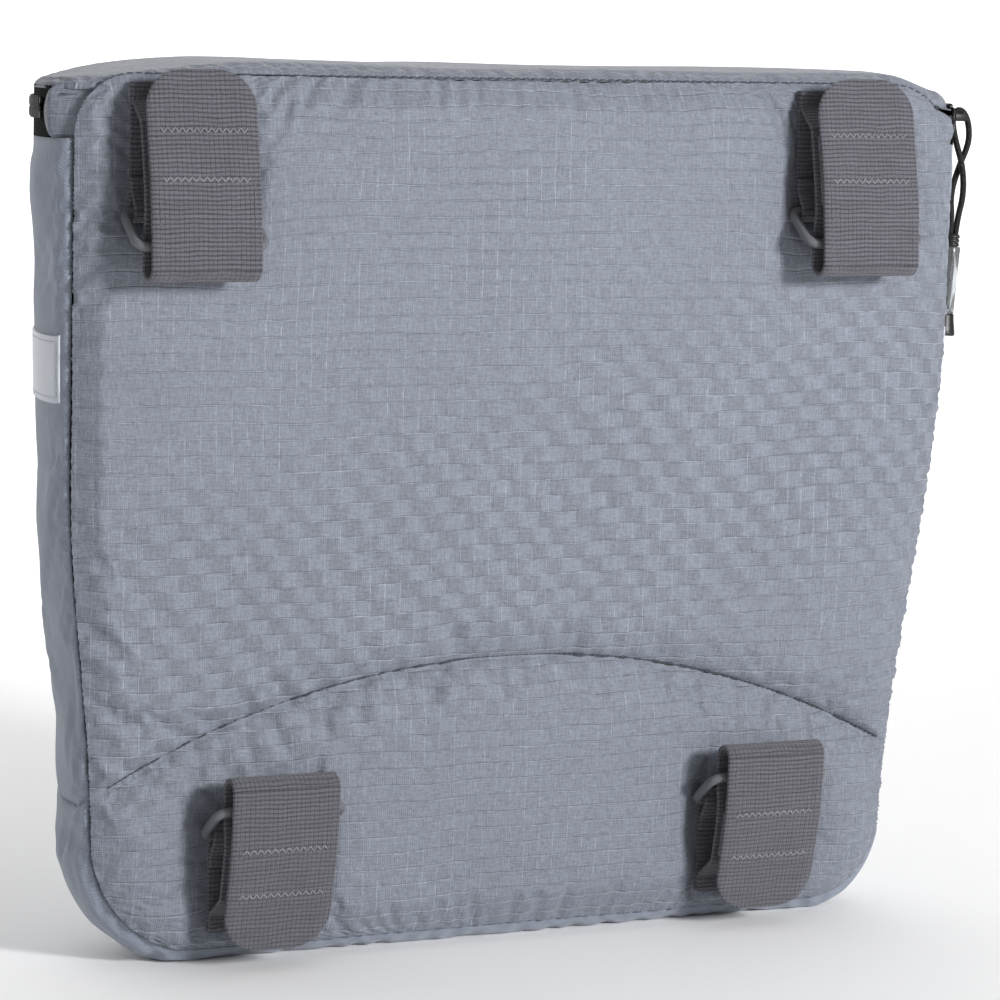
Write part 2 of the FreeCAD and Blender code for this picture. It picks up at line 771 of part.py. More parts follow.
def rack_strap(name, plan):
    """One complete strap: base, ring, webbing, tail and the two patches."""
    shift = Vector(plan.x, 0, 0)
    hook, loop = strap_patches(plan)
    shapes = {
        "base": strap_base(plan),
        "webbing": strap_webbing(plan),
        "tail": strap_tail(plan),
        "hook_patch": hook,
        "loop_patch": loop,
    }
    for piece, shape in shapes.items():
        obj = keep_shape(shape, f"{name}_{piece}")
        obj.Placement = Placement(shift, Rotation())
    ring(plan, f"{name}_ring")


def rack_straps():
    """Two straps under the top edge and two, upside down, at the bottom edge."""
    for side, sign in (("left", -1), ("right", 1)):
        rack_strap(
            f"top_{side}_strap",
            StrapPlan(sign * size("top_strap_x"), size("top_strap_fold"),
                      size("top_strap_length"), size("top_tip_standoff"), 1),
        )
        rack_strap(
            f"bottom_{side}_strap",
            StrapPlan(sign * size("bottom_strap_x"), size("bottom_strap_fold"),
                      size("bottom_strap_length"), size("bottom_tip_standoff"), -1),
        )


# ---------------------------------------------------------------- build and export
def check_document():
    """Stop if any object failed or any piece is null, invalid or not solid."""
    for obj in doc.Objects:
        if "Invalid" in obj.State or "Error" in obj.State:
            raise RuntimeError(f"{obj.Label} failed: {obj.State}")
    for obj in subparts:
        shape = obj.Shape
        if shape.isNull() or not shape.isValid() or not shape.Solids:
            raise RuntimeError(f"{obj.Label} has no valid solid")
    labels = [obj.Label for obj in subparts]
    if len(set(labels)) != PART_COUNT:
        raise RuntimeError(f"{len(set(labels))} different labels, {PART_COUNT} expected")


def export_parts():
    """Write each piece to parts/NODE.step."""
    os.makedirs("parts", exist_ok=True)
    for obj in subparts:
        obj.Shape.exportStep(f"parts/{obj.Label}.step")


back_panel()
wrapped_body()
lid_and_zip()
zip_slider()
puller_pieces()
rack_straps()
doc.recompute()
check_document()
export_parts()
for piece in subparts:
    bounds = piece.Shape.BoundBox
    print(
        f"{piece.Label:28s} solids {len(piece.Shape.Solids)} volume {piece.Shape.Volume:9.0f}"
        f"  x {bounds.XMin:7.1f} {bounds.XMax:7.1f}  y {bounds.YMin:6.1f} {bounds.YMax:6.1f}"
        f"  z {bounds.ZMin:6.1f} {bounds.ZMax:6.1f}"
    )
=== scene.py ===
"""Looks of the pannier bag: sewn fabric, webbing straps, zip and cord puller."""
import json
import math

import bmesh
import bpy
import numpy as np
from mathutils import Matrix, Vector


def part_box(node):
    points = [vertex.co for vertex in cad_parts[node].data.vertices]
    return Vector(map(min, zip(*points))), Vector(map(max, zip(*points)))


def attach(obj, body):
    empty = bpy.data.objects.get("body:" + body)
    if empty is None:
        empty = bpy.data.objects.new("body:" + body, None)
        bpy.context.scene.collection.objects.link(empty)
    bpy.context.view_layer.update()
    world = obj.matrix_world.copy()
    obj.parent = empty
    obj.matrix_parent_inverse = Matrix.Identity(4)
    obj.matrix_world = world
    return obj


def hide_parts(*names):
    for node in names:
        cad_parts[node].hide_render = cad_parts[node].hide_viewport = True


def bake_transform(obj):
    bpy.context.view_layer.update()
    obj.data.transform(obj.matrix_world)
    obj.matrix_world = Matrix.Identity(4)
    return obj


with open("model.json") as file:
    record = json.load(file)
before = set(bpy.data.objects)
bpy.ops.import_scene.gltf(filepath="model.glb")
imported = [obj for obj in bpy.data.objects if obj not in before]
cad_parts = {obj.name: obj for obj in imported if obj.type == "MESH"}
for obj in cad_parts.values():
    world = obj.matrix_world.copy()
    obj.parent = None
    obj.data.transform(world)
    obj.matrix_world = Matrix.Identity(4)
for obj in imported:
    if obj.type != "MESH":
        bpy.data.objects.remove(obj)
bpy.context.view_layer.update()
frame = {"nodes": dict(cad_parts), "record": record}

MM = 0.001


# ---------------------------------------------------------------- places read from the frame


def node_box(node):
    """Lowest and highest corner of a CAD node, in millimetres."""
    low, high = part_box(node)
    return np.array(low) / MM, np.array(high) / MM


MOUTH_LOW, MOUTH_HIGH = node_box("zip_upper_tape")
SKIN_LOW, SKIN_HIGH = node_box("back_panel_upper")
PANEL_FACE = SKIN_LOW[1]
FOAM_FACE, FOAM_BACK = node_box("back_foam")[0][1], node_box("back_foam")[1][1]
SEAM_LOW = node_box("back_panel_lower")[0][2]
SEAM_HIGH = SKIN_HIGH[2]
BODY_TOP = node_box("zip_lower_tape")[0][2]
LID_TOP = node_box("lid_panel")[1][2]
WRAP_FRONT = MOUTH_HIGH[1]
WRAP_RADIUS = 52.0
WRAP_Y = WRAP_FRONT - WRAP_RADIUS
MOUTH_MIDDLE = (node_box("lid_panel")[0][0] + node_box("lid_panel")[1][0]) / 2
MOUTH_HALF = MOUTH_HIGH[0] - MOUTH_MIDDLE
MOUTH = {-1: MOUTH_HALF - MOUTH_MIDDLE, 1: MOUTH_HALF + MOUTH_MIDDLE}
BASE_RADIUS = 22.0
PANEL_CORNER = {-1: 40.0, 1: 28.0}
PANEL_TOP_CORNER = {-1: 20.0, 1: 26.0}
FRONT_CORNER_GROWTH = 14.0
ARC_END = 53.5
ARC_RISE = 40.0
STRAPS = ("top_left", "top_right", "bottom_left", "bottom_right")


# ---------------------------------------------------------------- small helpers


def smooth(t):
    """Smooth step from 0 to 1."""
    t = np.clip(t, 0.0, 1.0)
    return t * t * (3 - 2 * t)


def dense_ends(count, strength=0.6):
    """Numbers from 0 to 1, closer together near both ends."""
    t = np.linspace(0.0, 1.0, count)
    return (1 - strength) * t + strength * (1 - np.cos(np.pi * t)) / 2


def soft_noise(shape, cells, seed):
    """Smooth random field over a grid, about -1 to 1, with the given cells along each side."""
    local = np.random.default_rng(seed)
    coarse = local.uniform(-1, 1, (cells[0] + 3, cells[1] + 3))
    rows = np.linspace(0, cells[0], shape[0])
    cols = np.linspace(0, cells[1], shape[1])
    return cubic_sample(coarse, rows + 1, cols + 1)


def cubic_sample(field, rows, cols):
    """Cubic interpolation of a 2D (or 2D of vectors) field at every row and column place."""

    def weights(t):
        return np.stack([
            -0.5 * t + t ** 2 - 0.5 * t ** 3,
            1 - 2.5 * t ** 2 + 1.5 * t ** 3,
            0.5 * t + 2 * t ** 2 - 1.5 * t ** 3,
            -0.5 * t ** 2 + 0.5 * t ** 3,
        ])

    def along(values, places):
        base = np.floor(places).astype(int)
        part = weights(places - base)
        total = 0
        for k in range(4):
            index = np.clip(base + k - 1, 0, values.shape[0] - 1)
            factor = part[k].reshape((-1,) + (1,) * (values.ndim - 1))
            total = total + values[index] * factor
        return total

    across = along(np.swapaxes(along(field, rows), 0, 1), cols)
    return np.swapaxes(across, 0, 1)


def resample(field, shape):
    """The same grid field on another number of rows and columns."""
    rows = np.linspace(0, field.shape[0] - 1, shape[0])
    cols = np.linspace(0, field.shape[1] - 1, shape[1])
    return cubic_sample(field, rows, cols)


def grid_faces(rows, cols):
    """Quads of a grid with that many points each way."""
    index = np.arange(rows * cols).reshape(rows, cols)
    quads = np.stack([index[:-1, :-1], index[:-1, 1:], index[1:, 1:], index[1:, :-1]], -1)
    return quads.reshape(-1, 4)


def mesh_object(name, points, faces, uv=None, flat=False):
    """Mesh object from points in millimetres, with UVs in metres per point."""
    mesh = bpy.data.meshes.new(name)
    mesh.from_pydata((np.asarray(points) * MM).tolist(), [], [list(map(int, f)) for f in faces])
    if uv is not None:
        layer = mesh.uv_layers.new(name="UVMap")
        loops = np.zeros(len(mesh.loops), np.int32)
        mesh.loops.foreach_get("vertex_index", loops)
        layer.data.foreach_set("uv", (np.asarray(uv)[loops] * MM).astype(np.float32).ravel())
    if not flat:
        mesh.polygons.foreach_set("use_smooth", [True] * len(mesh.polygons))
    mesh.update()
    obj = bpy.data.objects.new(name, mesh)
    bpy.context.scene.collection.objects.link(obj)
    return obj


def grid_object(name, points, uv, flip=False):
    """Mesh object from a grid of points (rows, columns, 3)."""
    faces = grid_faces(points.shape[0], points.shape[1])
    if flip:
        faces = faces[:, ::-1]
    return mesh_object(name, points.reshape(-1, 3), faces, uv.reshape(-1, 2))


def thicken(obj, thickness):
    """Give a sheet its cloth thickness, on the side away from its normals."""
    solid = obj.modifiers.new("cloth", "SOLIDIFY")
    solid.thickness = thickness * MM
    solid.offset = -1
    return obj


def normals_of(points):
    """Unit normals of a grid of points, rows crossed with columns."""
    down = np.gradient(points, axis=0)
    across = np.gradient(points, axis=1)
    normal = np.cross(across, down)
    return normal / np.maximum(np.linalg.norm(normal, axis=2, keepdims=True), 1e-9)


def inflate(points, held, push, stretch, frames=16):
    """Cloth simulation of one sewn sheet: pinned where held, pushed out, a little too large.

    points is a grid in millimetres, held a grid of 0 to 1, push the outward direction.
    Returns how far each point moved, in millimetres.
    """
    scene = bpy.context.scene
    rows, cols = points.shape[:2]
    obj = mesh_object("cloth_work", points.reshape(-1, 3), grid_faces(rows, cols))
    group = obj.vertex_groups.new(name="held")
    for index, weight in enumerate(held.ravel()):
        if weight > 0.01:
            group.add([index], float(weight), "REPLACE")
    cloth = obj.modifiers.new("Cloth", "CLOTH")
    settings = cloth.settings
    settings.quality = 5
    settings.mass = 0.2
    settings.tension_stiffness = 18
    settings.compression_stiffness = 14
    settings.shear_stiffness = 6
    settings.bending_stiffness = 0.25
    settings.air_damping = 4
    settings.vertex_group_mass = "held"
    settings.shrink_min = -stretch
    settings.effector_weights.gravity = 1.0
    cloth.collision_settings.use_collision = False
    gravity = tuple(scene.gravity)
    scene.gravity = tuple(float(v) for v in push)
    for number in range(1, frames + 1):
        scene.frame_set(number)
    graph = bpy.context.evaluated_depsgraph_get()
    solved = obj.evaluated_get(graph).data
    moved = np.zeros(len(solved.vertices) * 3)
    solved.vertices.foreach_get("co", moved)
    scene.gravity = gravity
    scene.frame_set(1)
    bpy.data.objects.remove(obj)
    return moved.reshape(points.shape) / MM - points



# ---------------------------------------------------------------- form of the bag
# Width of the back seam on each side of the middle: at the foot, at the top, and the
# heights between which it swells. The soft bag leans a little to the right.
SEAM_REACH = {-1: (151.0, 159.6, 40.0, 165.0), 1: (148.5, 169.0, 20.0, 215.0)}


def reach(side, z):
    """Distance of the back seam from the middle, on one side (-1 left, 1 right)."""
    low, high, start, end = SEAM_REACH[side]
    t = np.clip((z - start) / (end - start), 0, 1)
    return low + (high - low) * (1 - np.cos(np.pi * t)) / 2


def cut_corner(radius, depth):
    """How far a round corner draws in at a depth into the corner."""
    depth = np.clip(depth, 0, radius)
    return radius - np.sqrt(np.maximum(radius ** 2 - depth ** 2, 0))


def panel_half(side, z, inset=0.0):
    """Distance of the back panel's edge from the middle on one side, corners included."""
    corner = PANEL_CORNER[side] - inset
    low, high = SEAM_LOW + inset, SEAM_HIGH - inset
    half = reach(side, z) - inset
    half = half - cut_corner(corner, low + corner - z)
    top = PANEL_TOP_CORNER[side] - inset
    return half - cut_corner(top, z - (high - top))


def panel_top(x):
    """Height of the back panel's upper edge at a place across it."""
    fall = np.zeros_like(x)
    for side in (-1, 1):
        corner = PANEL_TOP_CORNER[side]
        fall += cut_corner(corner, side * x - (reach(side, SEAM_HIGH) - corner))
    return SEAM_HIGH - fall


def spread_across(z, s, inset=0.0):
    """X over a panel: s runs from -1 at the left edge to 1 at the right edge."""
    left, right = panel_half(-1, z, inset), panel_half(1, z, inset)
    return np.where(s < 0, s * left, s * right)


def panel_outline(inset, count):
    """Closed line of points (x, z) round the back panel, starting at the bottom left."""
    corner = PANEL_CORNER[-1]
    heights = np.concatenate([
        SEAM_LOW + inset + corner * (1 - np.cos(np.linspace(0, np.pi / 2, 60))),
        np.linspace(SEAM_LOW + inset + corner, SEAM_HIGH - 27, 120)[1:],
        SEAM_HIGH - inset - 27 * (1 - np.sin(np.linspace(0, np.pi / 2, 60)))[1:],
    ])
    left = np.stack([-panel_half(-1, heights, inset), heights], 1)
    right = np.stack([panel_half(1, heights, inset), heights], 1)
    line = np.concatenate([left, right[::-1], left[:1]])
    return even_line(line, count)


def even_line(line, count):
    """The same line with evenly spaced points."""
    steps = np.linalg.norm(np.diff(line, axis=0), axis=1)
    run = np.concatenate([[0], np.cumsum(steps)])
    even = np.linspace(0, run[-1], count)
    return np.stack([np.interp(even, run, line[:, k]) for k in range(line.shape[1])], 1)


def edge_distance(x, z):
    """Distance of panel points from the panel's rounded outline."""
    line = panel_outline(0.0, 700)
    gap = np.full(x.shape, 1e9)
    for part in np.array_split(line, 14):
        near = (x[..., None] - part[:, 0]) ** 2 + (z[..., None] - part[:, 1]) ** 2
        gap = np.minimum(gap, near.min(-1))
    return np.sqrt(gap)


def bulge(side, z):
    """How far the wrapped sides stand out beyond the back seam."""
    top = MOUTH[side] - reach(side, BODY_TOP)
    return 1.0 + (top - 1.0) * z / BODY_TOP + 2.0 * smooth((105 - z) / 50)


def wrap_corner(side, angle):
    """Radius of the wrap's lower corner, which grows from the back seam to the front."""
    first = math.asin((0.8 - WRAP_Y) / WRAP_RADIUS)
    share = np.clip((angle - first) / (math.radians(62) - first), 0, 1)
    return PANEL_CORNER[side] + FRONT_CORNER_GROWTH * share


def wrap_half(side, angle, z, offset=0.0):
    """Half width of the wrapped body at an angle round its corner arc."""
    centre = reach(side, z) + bulge(side, z) - WRAP_RADIUS
    return centre + (WRAP_RADIUS + offset) * np.cos(angle)


def base_height(y):
    """Height of the bottom fabric at a depth: rolled up at both seams, flat between."""
    back = SEAM_LOW * np.clip((7.0 - y) / 7.0, 0, 1) ** 2
    curve = np.clip(y - (WRAP_FRONT - BASE_RADIUS), 0, BASE_RADIUS)
    return back + BASE_RADIUS - np.sqrt(BASE_RADIUS ** 2 - curve ** 2)


def arc_height(x):
    """Height of the arc seam across the back panel."""
    chord = 152.0
    radius = (chord ** 2 + ARC_RISE ** 2) / (2 * ARC_RISE)
    centre = SEAM_LOW + ARC_END + ARC_RISE - radius
    return centre + np.sqrt(radius ** 2 - np.clip(np.abs(x), 0, chord + 12) ** 2)


def mouth_half(side, y, offset=0.0):
    """Distance of the bag's mouth from the middle on one side at a depth."""
    radius = WRAP_RADIUS + offset
    depth = np.clip(np.abs(y - WRAP_Y), 0, radius)
    return MOUTH[side] - WRAP_RADIUS + np.sqrt(radius ** 2 - depth ** 2)


def mouth_line(start_right, start_left, offset, count):
    """Points (x, y) round the mouth from the right end of the zip to its left end."""
    radius = WRAP_RADIUS + offset

    def corner(side, start):
        first = math.asin((start - WRAP_Y) / radius)
        angles = np.linspace(first, math.pi / 2, 120)
        centre = MOUTH[side] - WRAP_RADIUS
        x = side * (centre + radius * np.cos(angles))
        return np.stack([x, WRAP_Y + radius * np.sin(angles)], 1)

    return even_line(np.concatenate([corner(1, start_right), corner(-1, start_left)[::-1]]), count)


# ---------------------------------------------------------------- node materials


class Nodes:
    """A short way to wire a node material."""

    def __init__(self, name):
        self.material = bpy.data.materials.new(name)
        self.material.use_nodes = True
        self.tree = self.material.node_tree
        self.shader = self.tree.nodes["Principled BSDF"]

    def node(self, kind, **values):
        node = self.tree.nodes.new(kind)
        for key, value in values.items():
            setattr(node, key, value)
        return node

    def link(self, source, target):
        self.tree.links.new(source, target)
        return source

    def math(self, operation, a, b=None, c=None, clamp=False):
        node = self.node("ShaderNodeMath", operation=operation, use_clamp=clamp)
        for socket, value in zip(node.inputs, (a, b, c)):
            self.feed(socket, value)
        return node.outputs[0]

    def feed(self, socket, value):
        if value is None:
            return
        if isinstance(value, bpy.types.NodeSocket):
            self.link(value, socket)
        else:
            socket.default_value = value

    def uv(self):
        """U and V of the cloth, in millimetres along its threads."""
        node = self.node("ShaderNodeUVMap", uv_map="UVMap")
        scale = self.node("ShaderNodeVectorMath", operation="SCALE")
        self.link(node.outputs[0], scale.inputs[0])
        scale.inputs["Scale"].default_value = 1 / MM
        split = self.node("ShaderNodeSeparateXYZ")
        self.link(scale.outputs[0], split.inputs[0])
        return scale.outputs[0], split.outputs[0], split.outputs[1]

    def place(self):
        """Object coordinates in millimetres."""
        node = self.node("ShaderNodeTexCoord")
        scale = self.node("ShaderNodeVectorMath", operation="SCALE")
        self.link(node.outputs["Object"], scale.inputs[0])
        scale.inputs["Scale"].default_value = 1 / MM
        split = self.node("ShaderNodeSeparateXYZ")
        self.link(scale.outputs[0], split.inputs[0])
        return scale.outputs[0], split.outputs

    def noise(self, vector, scale, detail=2.0, rough=0.5):
        node = self.node("ShaderNodeTexNoise")
        self.link(vector, node.inputs["Vector"])
        node.inputs["Scale"].default_value = scale
        node.inputs["Detail"].default_value = detail
        node.inputs["Roughness"].default_value = rough
        return node.outputs["Fac"]

    def wave(self, coordinate, pitch, phase=0.0):
        """0 to 1 sine along a coordinate in millimetres."""
        turn = self.math("MULTIPLY_ADD", coordinate, 2 * math.pi / pitch, phase)
        return self.math("MULTIPLY_ADD", self.math("SINE", turn), 0.5, 0.5)

    def line(self, coordinate, pitch, width):
        """1 on thin lines that repeat along a coordinate in millimetres."""
        near = self.math("PINGPONG", coordinate, pitch / 2)
        ramp = self.node("ShaderNodeMapRange", interpolation_type="SMOOTHSTEP")
        self.link(near, ramp.inputs["Value"])
        ramp.inputs["From Min"].default_value = 0.0
        ramp.inputs["From Max"].default_value = width
        ramp.inputs["To Min"].default_value = 1.0
        ramp.inputs["To Max"].default_value = 0.0
        return ramp.outputs[0]

    def spread(self, value, low, high):
        """Map 0 to 1 onto low to high."""
        return self.math("MULTIPLY_ADD", value, high - low, low)

    def mix(self, factor, first, second):
        node = self.node("ShaderNodeMix", data_type="RGBA")
        self.feed(node.inputs["Factor"], factor)
        self.feed(node.inputs["A"], first)
        self.feed(node.inputs["B"], second)
        return node.outputs["Result"]

    def tint(self, colour, factor):
        """Multiply a colour by a brightness."""
        node = self.node("ShaderNodeVectorMath", operation="SCALE")
        self.feed(node.inputs[0], colour[:3] if isinstance(colour, tuple) else colour)
        self.feed(node.inputs["Scale"], factor)
        return node.outputs[0]

    def bump(self, height, distance, strength=1.0, normal=None):
        node = self.node("ShaderNodeBump")
        self.link(height, node.inputs["Height"])
        node.inputs["Distance"].default_value = distance * MM
        node.inputs["Strength"].default_value = strength
        if normal is not None:
            self.link(normal, node.inputs["Normal"])
        return node.outputs[0]

    def finish(self, colour=None, rough=None, normal=None, **values):
        self.feed(self.shader.inputs["Base Color"], colour)
        self.feed(self.shader.inputs["Roughness"], rough)
        if normal is not None:
            self.link(normal, self.shader.inputs["Normal"])
        for name, value in values.items():
            self.feed(self.shader.inputs[name.replace("_", " ")], value)
        return self.material


def rgb(red, green, blue):
    """A colour given as it is seen, 0 to 255, as linear values."""

    def linear(value):
        value = value / 255
        return value / 12.92 if value <= 0.04045 else ((value + 0.055) / 1.055) ** 2.4

    return (linear(red), linear(green), linear(blue), 1.0)


def shifted_sheen_blocks(n, place, u, v, pitch):
    """Painted sheen: light and dark lengths in each row, shifted from row to row, where the
    squares' sheen shows as a moiré.

    They show most in a broad slanting band across the middle of a panel.
    """
    row = n.math("FLOOR", n.math("DIVIDE", v, pitch))
    stretch = n.math("MULTIPLY_ADD", n.noise(place, 0.010, 2.0), 26.0, u)
    turn = n.math("MULTIPLY_ADD", stretch, 2 * math.pi / 15.0, n.math("MULTIPLY", row, 2.35))
    sine = n.math("SINE", turn)
    block = n.math("MULTIPLY", sine, 2.2)
    block = n.math("MAXIMUM", n.math("MINIMUM", block, 1.0), -1.0)
    lean = n.math("SUBTRACT", v, n.math("MULTIPLY_ADD", u, 0.30, 142.0))
    far = n.math("ABSOLUTE", n.math("MULTIPLY_ADD", n.noise(place, 0.02, 2.0), 50.0,
                                    n.math("SUBTRACT", lean, 25.0)))
    band = n.node("ShaderNodeMapRange", interpolation_type="SMOOTHSTEP")
    n.link(far, band.inputs["Value"])
    band.inputs["From Min"].default_value = 20.0
    band.inputs["From Max"].default_value = 85.0
    band.inputs["To Min"].default_value = 0.105
    band.inputs["To Max"].default_value = 0.012
    return n.math("MULTIPLY", block, band.outputs[0])


RIPSTOP = rgb(114, 119, 130)
# Lighter grid thread colour: painted highlight on the raised grid threads.
RIPSTOP_GRID_HIGHLIGHT = rgb(168, 174, 184)


def ripstop_material():
    """Grey ripstop: fine heathered weave, faint uneven thread grid painted lighter as highlight on
    its raised threads, squares that differ, and painted sheen in light and dark blocks across the
    middle.
    """
    n = Nodes("ripstop")
    pitch = 5.4
    place, u, v = n.uv()
    u2 = n.math("MULTIPLY_ADD", n.noise(place, 0.035, 3.0), 3.0, u)
    v2 = n.math("MULTIPLY_ADD", n.noise(place, 0.020, 2.0), 5.0, v)
    upright = n.line(u2, pitch, 0.34)
    level = n.line(v2, pitch, 0.34)
    patchy = n.noise(place, 0.030, 3.0, 0.6)
    other = n.noise(place, 0.022, 3.0, 0.6)
    broken = n.noise(place, 0.35, 2.0, 0.6)
    shown_up = n.math("MULTIPLY_ADD", patchy, 3.2, -1.25, clamp=True)
    shown_level = n.math("MULTIPLY_ADD", other, 3.2, -1.05, clamp=True)
    broken = n.math("MULTIPLY_ADD", broken, 2.6, -0.7, clamp=True)
    upright = n.math("MULTIPLY", n.math("MULTIPLY", upright, shown_up), broken)
    level = n.math("MULTIPLY", n.math("MULTIPLY", level, shown_level), broken)
    grid = n.math("MAXIMUM", upright, level, clamp=True)

    cell = n.node("ShaderNodeCombineXYZ")
    for socket, value in zip(cell.inputs, (u2, v2)):
        n.link(n.math("FLOOR", n.math("DIVIDE", value, pitch)), socket)
    square = n.node("ShaderNodeTexWhiteNoise", noise_dimensions="2D")
    n.link(cell.outputs[0], square.inputs["Vector"])
    tone_and_sheen = n.math("MULTIPLY", n.math("SUBTRACT", square.outputs["Value"], 0.5), 0.05)
    # Random tone per square plus painted sheen in light and dark blocks across the middle band.
    tone_and_sheen = n.math("ADD", tone_and_sheen, shifted_sheen_blocks(n, place, u, v2, pitch))

    weave = n.math("MULTIPLY", n.wave(u, 0.72), n.wave(v, 0.72, 1.3))
    across = n.noise(stretched(n, u, v, 0.22, 1.5), 1.0, 2.0, 0.7)
    upward = n.noise(stretched(n, u, v, 1.5, 0.22), 1.0, 2.0, 0.7)
    fleck = n.noise(place, 0.9, 3.0, 0.75)
    threads = n.math("ADD", n.math("SUBTRACT", across, 0.5), n.math("SUBTRACT", upward, 0.5))
    threads = n.math("ADD", threads, n.math("SUBTRACT", fleck, 0.5))
    bright = n.math("ADD", 0.94, tone_and_sheen)
    bright = n.math("MULTIPLY_ADD", threads, 0.72, bright)
    bright = n.math("MULTIPLY_ADD", weave, 0.16, bright)
    broad = n.noise(place, 0.012, 2.0)
    bright = n.math("MULTIPLY", bright, n.spread(broad, 0.90, 1.08))
    # Grid lines mixed towards the lighter colour: painted highlight on the raised threads.
    colour = n.tint(n.mix(n.math("MULTIPLY", grid, 0.70), RIPSTOP, RIPSTOP_GRID_HIGHLIGHT), bright)

    ridge = n.line(v2, pitch, 0.5)
    height = n.math("MULTIPLY_ADD", ridge, 1.5, n.math("MULTIPLY", weave, 0.4))
    height = n.math("MULTIPLY_ADD", upright, 0.5, height)
    height = n.math("MULTIPLY_ADD", threads, 0.8, height)
    fine = n.bump(height, 0.25, 0.8)
    crumple = n.bump(n.noise(place, 0.14, 4.0, 0.6), 1.4, 0.55, fine)
    return n.finish(
        colour, n.spread(weave, 0.64, 0.54), crumple,
        Sheen_Weight=0.2, Sheen_Roughness=0.4, Specular_IOR_Level=0.38,
    )


def stretched(n, u, v, along_u, along_v):
    """Coordinates that make noise into streaks along one thread direction."""
    node = n.node("ShaderNodeCombineXYZ")
    n.link(n.math("MULTIPLY", u, along_u), node.inputs[0])
    n.link(n.math("MULTIPLY", v, along_v), node.inputs[1])
    return node.outputs[0]


def twill_material():
    """Smoother twill of the gussets: fine slanting ribs with a wavy, brushed look."""
    n = Nodes("twill")
    place, u, v = n.uv()
    wobble = n.noise(place, 0.22, 2.0)
    slant = n.math("ADD", n.math("MULTIPLY", u, 0.8), v)
    slant = n.math("MULTIPLY_ADD", wobble, 3.0, slant)
    rib = n.wave(slant, 0.9)
    blotch = n.noise(stretched(n, u, v, 0.9, 0.28), 1.0, 3.0, 0.6)
    bright = n.math("MULTIPLY_ADD", rib, 0.12, 0.90)
    bright = n.math("MULTIPLY_ADD", n.math("SUBTRACT", blotch, 0.5), 0.42, bright)
    colour = n.tint(rgb(130, 137, 151), bright)
    height = n.math("MULTIPLY_ADD", blotch, 1.2, n.math("MULTIPLY", rib, 0.5))
    return n.finish(
        colour, 0.66, n.bump(height, 0.28, 0.7), Sheen_Weight=0.2, Specular_IOR_Level=0.35
    )


def webbing_material():
    """Cool grey webbing: raised weft picks crossed by warp columns, with painted shade in the gaps
    between them.
    """
    n = Nodes("webbing")
    place, u, v = n.uv()
    column, pick = 1.62, 1.47
    drift = n.noise(place, 0.06, 2.0)
    jitter = n.noise(place, 0.6, 2.0)
    u2 = n.math("MULTIPLY_ADD", jitter, 0.4, u)
    v2 = n.math("MULTIPLY_ADD", drift, 2.0, n.math("MULTIPLY_ADD", jitter, 0.35, v))
    groove = n.line(v2, pick, 0.42)
    gap = n.line(u2, column, 0.30)
    speck = n.noise(place, 1.4, 3.0, 0.75)
    row = n.noise(stretched(n, u, v, 0.05, 0.9), 1.0, 2.0, 0.7)
    column_tone = n.noise(stretched(n, u, v, 0.9, 0.05), 1.0, 2.0, 0.7)
    # Painted shade: darker in the gaps between weft picks and between warp columns.
    bright = n.math("MULTIPLY_ADD", groove, -0.52, 1.14)
    bright = n.math("MULTIPLY_ADD", gap, -0.26, bright)
    bright = n.math("MULTIPLY_ADD", n.math("SUBTRACT", row, 0.5), 0.7, bright)
    bright = n.math("MULTIPLY_ADD", n.math("SUBTRACT", column_tone, 0.5), 0.4, bright)
    bright = n.math("MULTIPLY_ADD", n.math("SUBTRACT", speck, 0.5), 0.5, bright)
    colour = n.tint(n.mix(speck, rgb(76, 76, 84), rgb(90, 89, 96)), bright)
    height = n.math("MULTIPLY_ADD", groove, -0.8, n.math("MULTIPLY", gap, -0.4))
    height = n.math("MULTIPLY_ADD", speck, 0.3, height)
    return n.finish(
        colour, 0.72, n.bump(height, 0.42, 0.9), Sheen_Weight=0.2, Specular_IOR_Level=0.3
    )


def thread_material(name, colour):
    """Twisted sewing thread."""
    n = Nodes(name)
    _, axes = n.place()
    twist = n.wave(n.math("ADD", axes[0], axes[2]), 0.5)
    return n.finish(n.tint(colour, n.spread(twist, 0.8, 1.15)), 0.6, n.bump(twist, 0.08))


def reflective_material():
    """Light grey glass-bead tape, faintly grained."""
    n = Nodes("reflective")
    place, _, _ = n.uv()
    grain = n.noise(place, 3.0, 2.0)
    cloud = n.noise(place, 0.09, 2.0)
    bright = n.math("MULTIPLY_ADD", grain, 0.10, n.spread(cloud, 0.90, 1.02))
    return n.finish(
        n.tint(rgb(176, 181, 190), bright), 0.42, n.bump(grain, 0.03, 0.5),
        Specular_IOR_Level=0.7, Coat_Weight=0.15, Coat_Roughness=0.3,
    )


def zip_tape_material():
    """Black herringbone tape."""
    n = Nodes("zip_tape")
    _, axes = n.place()
    across = n.math("PINGPONG", axes[2], 1.6)
    around = n.math("ADD", axes[0], axes[1])
    rib = n.wave(n.math("ADD", around, across), 0.9)
    colour = n.tint(rgb(16, 18, 20), n.spread(rib, 0.6, 1.25))
    return n.finish(colour, 0.9, n.bump(rib, 0.15, 0.8), Specular_IOR_Level=0.12)


def plastic_material(name, colour, rough, grain=0.35):
    """Moulded plastic with a fine grain and slight wear."""
    n = Nodes(name)
    place, _ = n.place()
    fine = n.noise(place, 4.0, 3.0)
    wear = n.noise(place, 0.3, 4.0, 0.65)
    colour = n.tint(colour, n.spread(wear, 0.8, 1.2))
    roughness = n.math("MULTIPLY_ADD", wear, 0.2, rough - 0.1)
    return n.finish(colour, roughness, n.bump(fine, 0.04, grain))


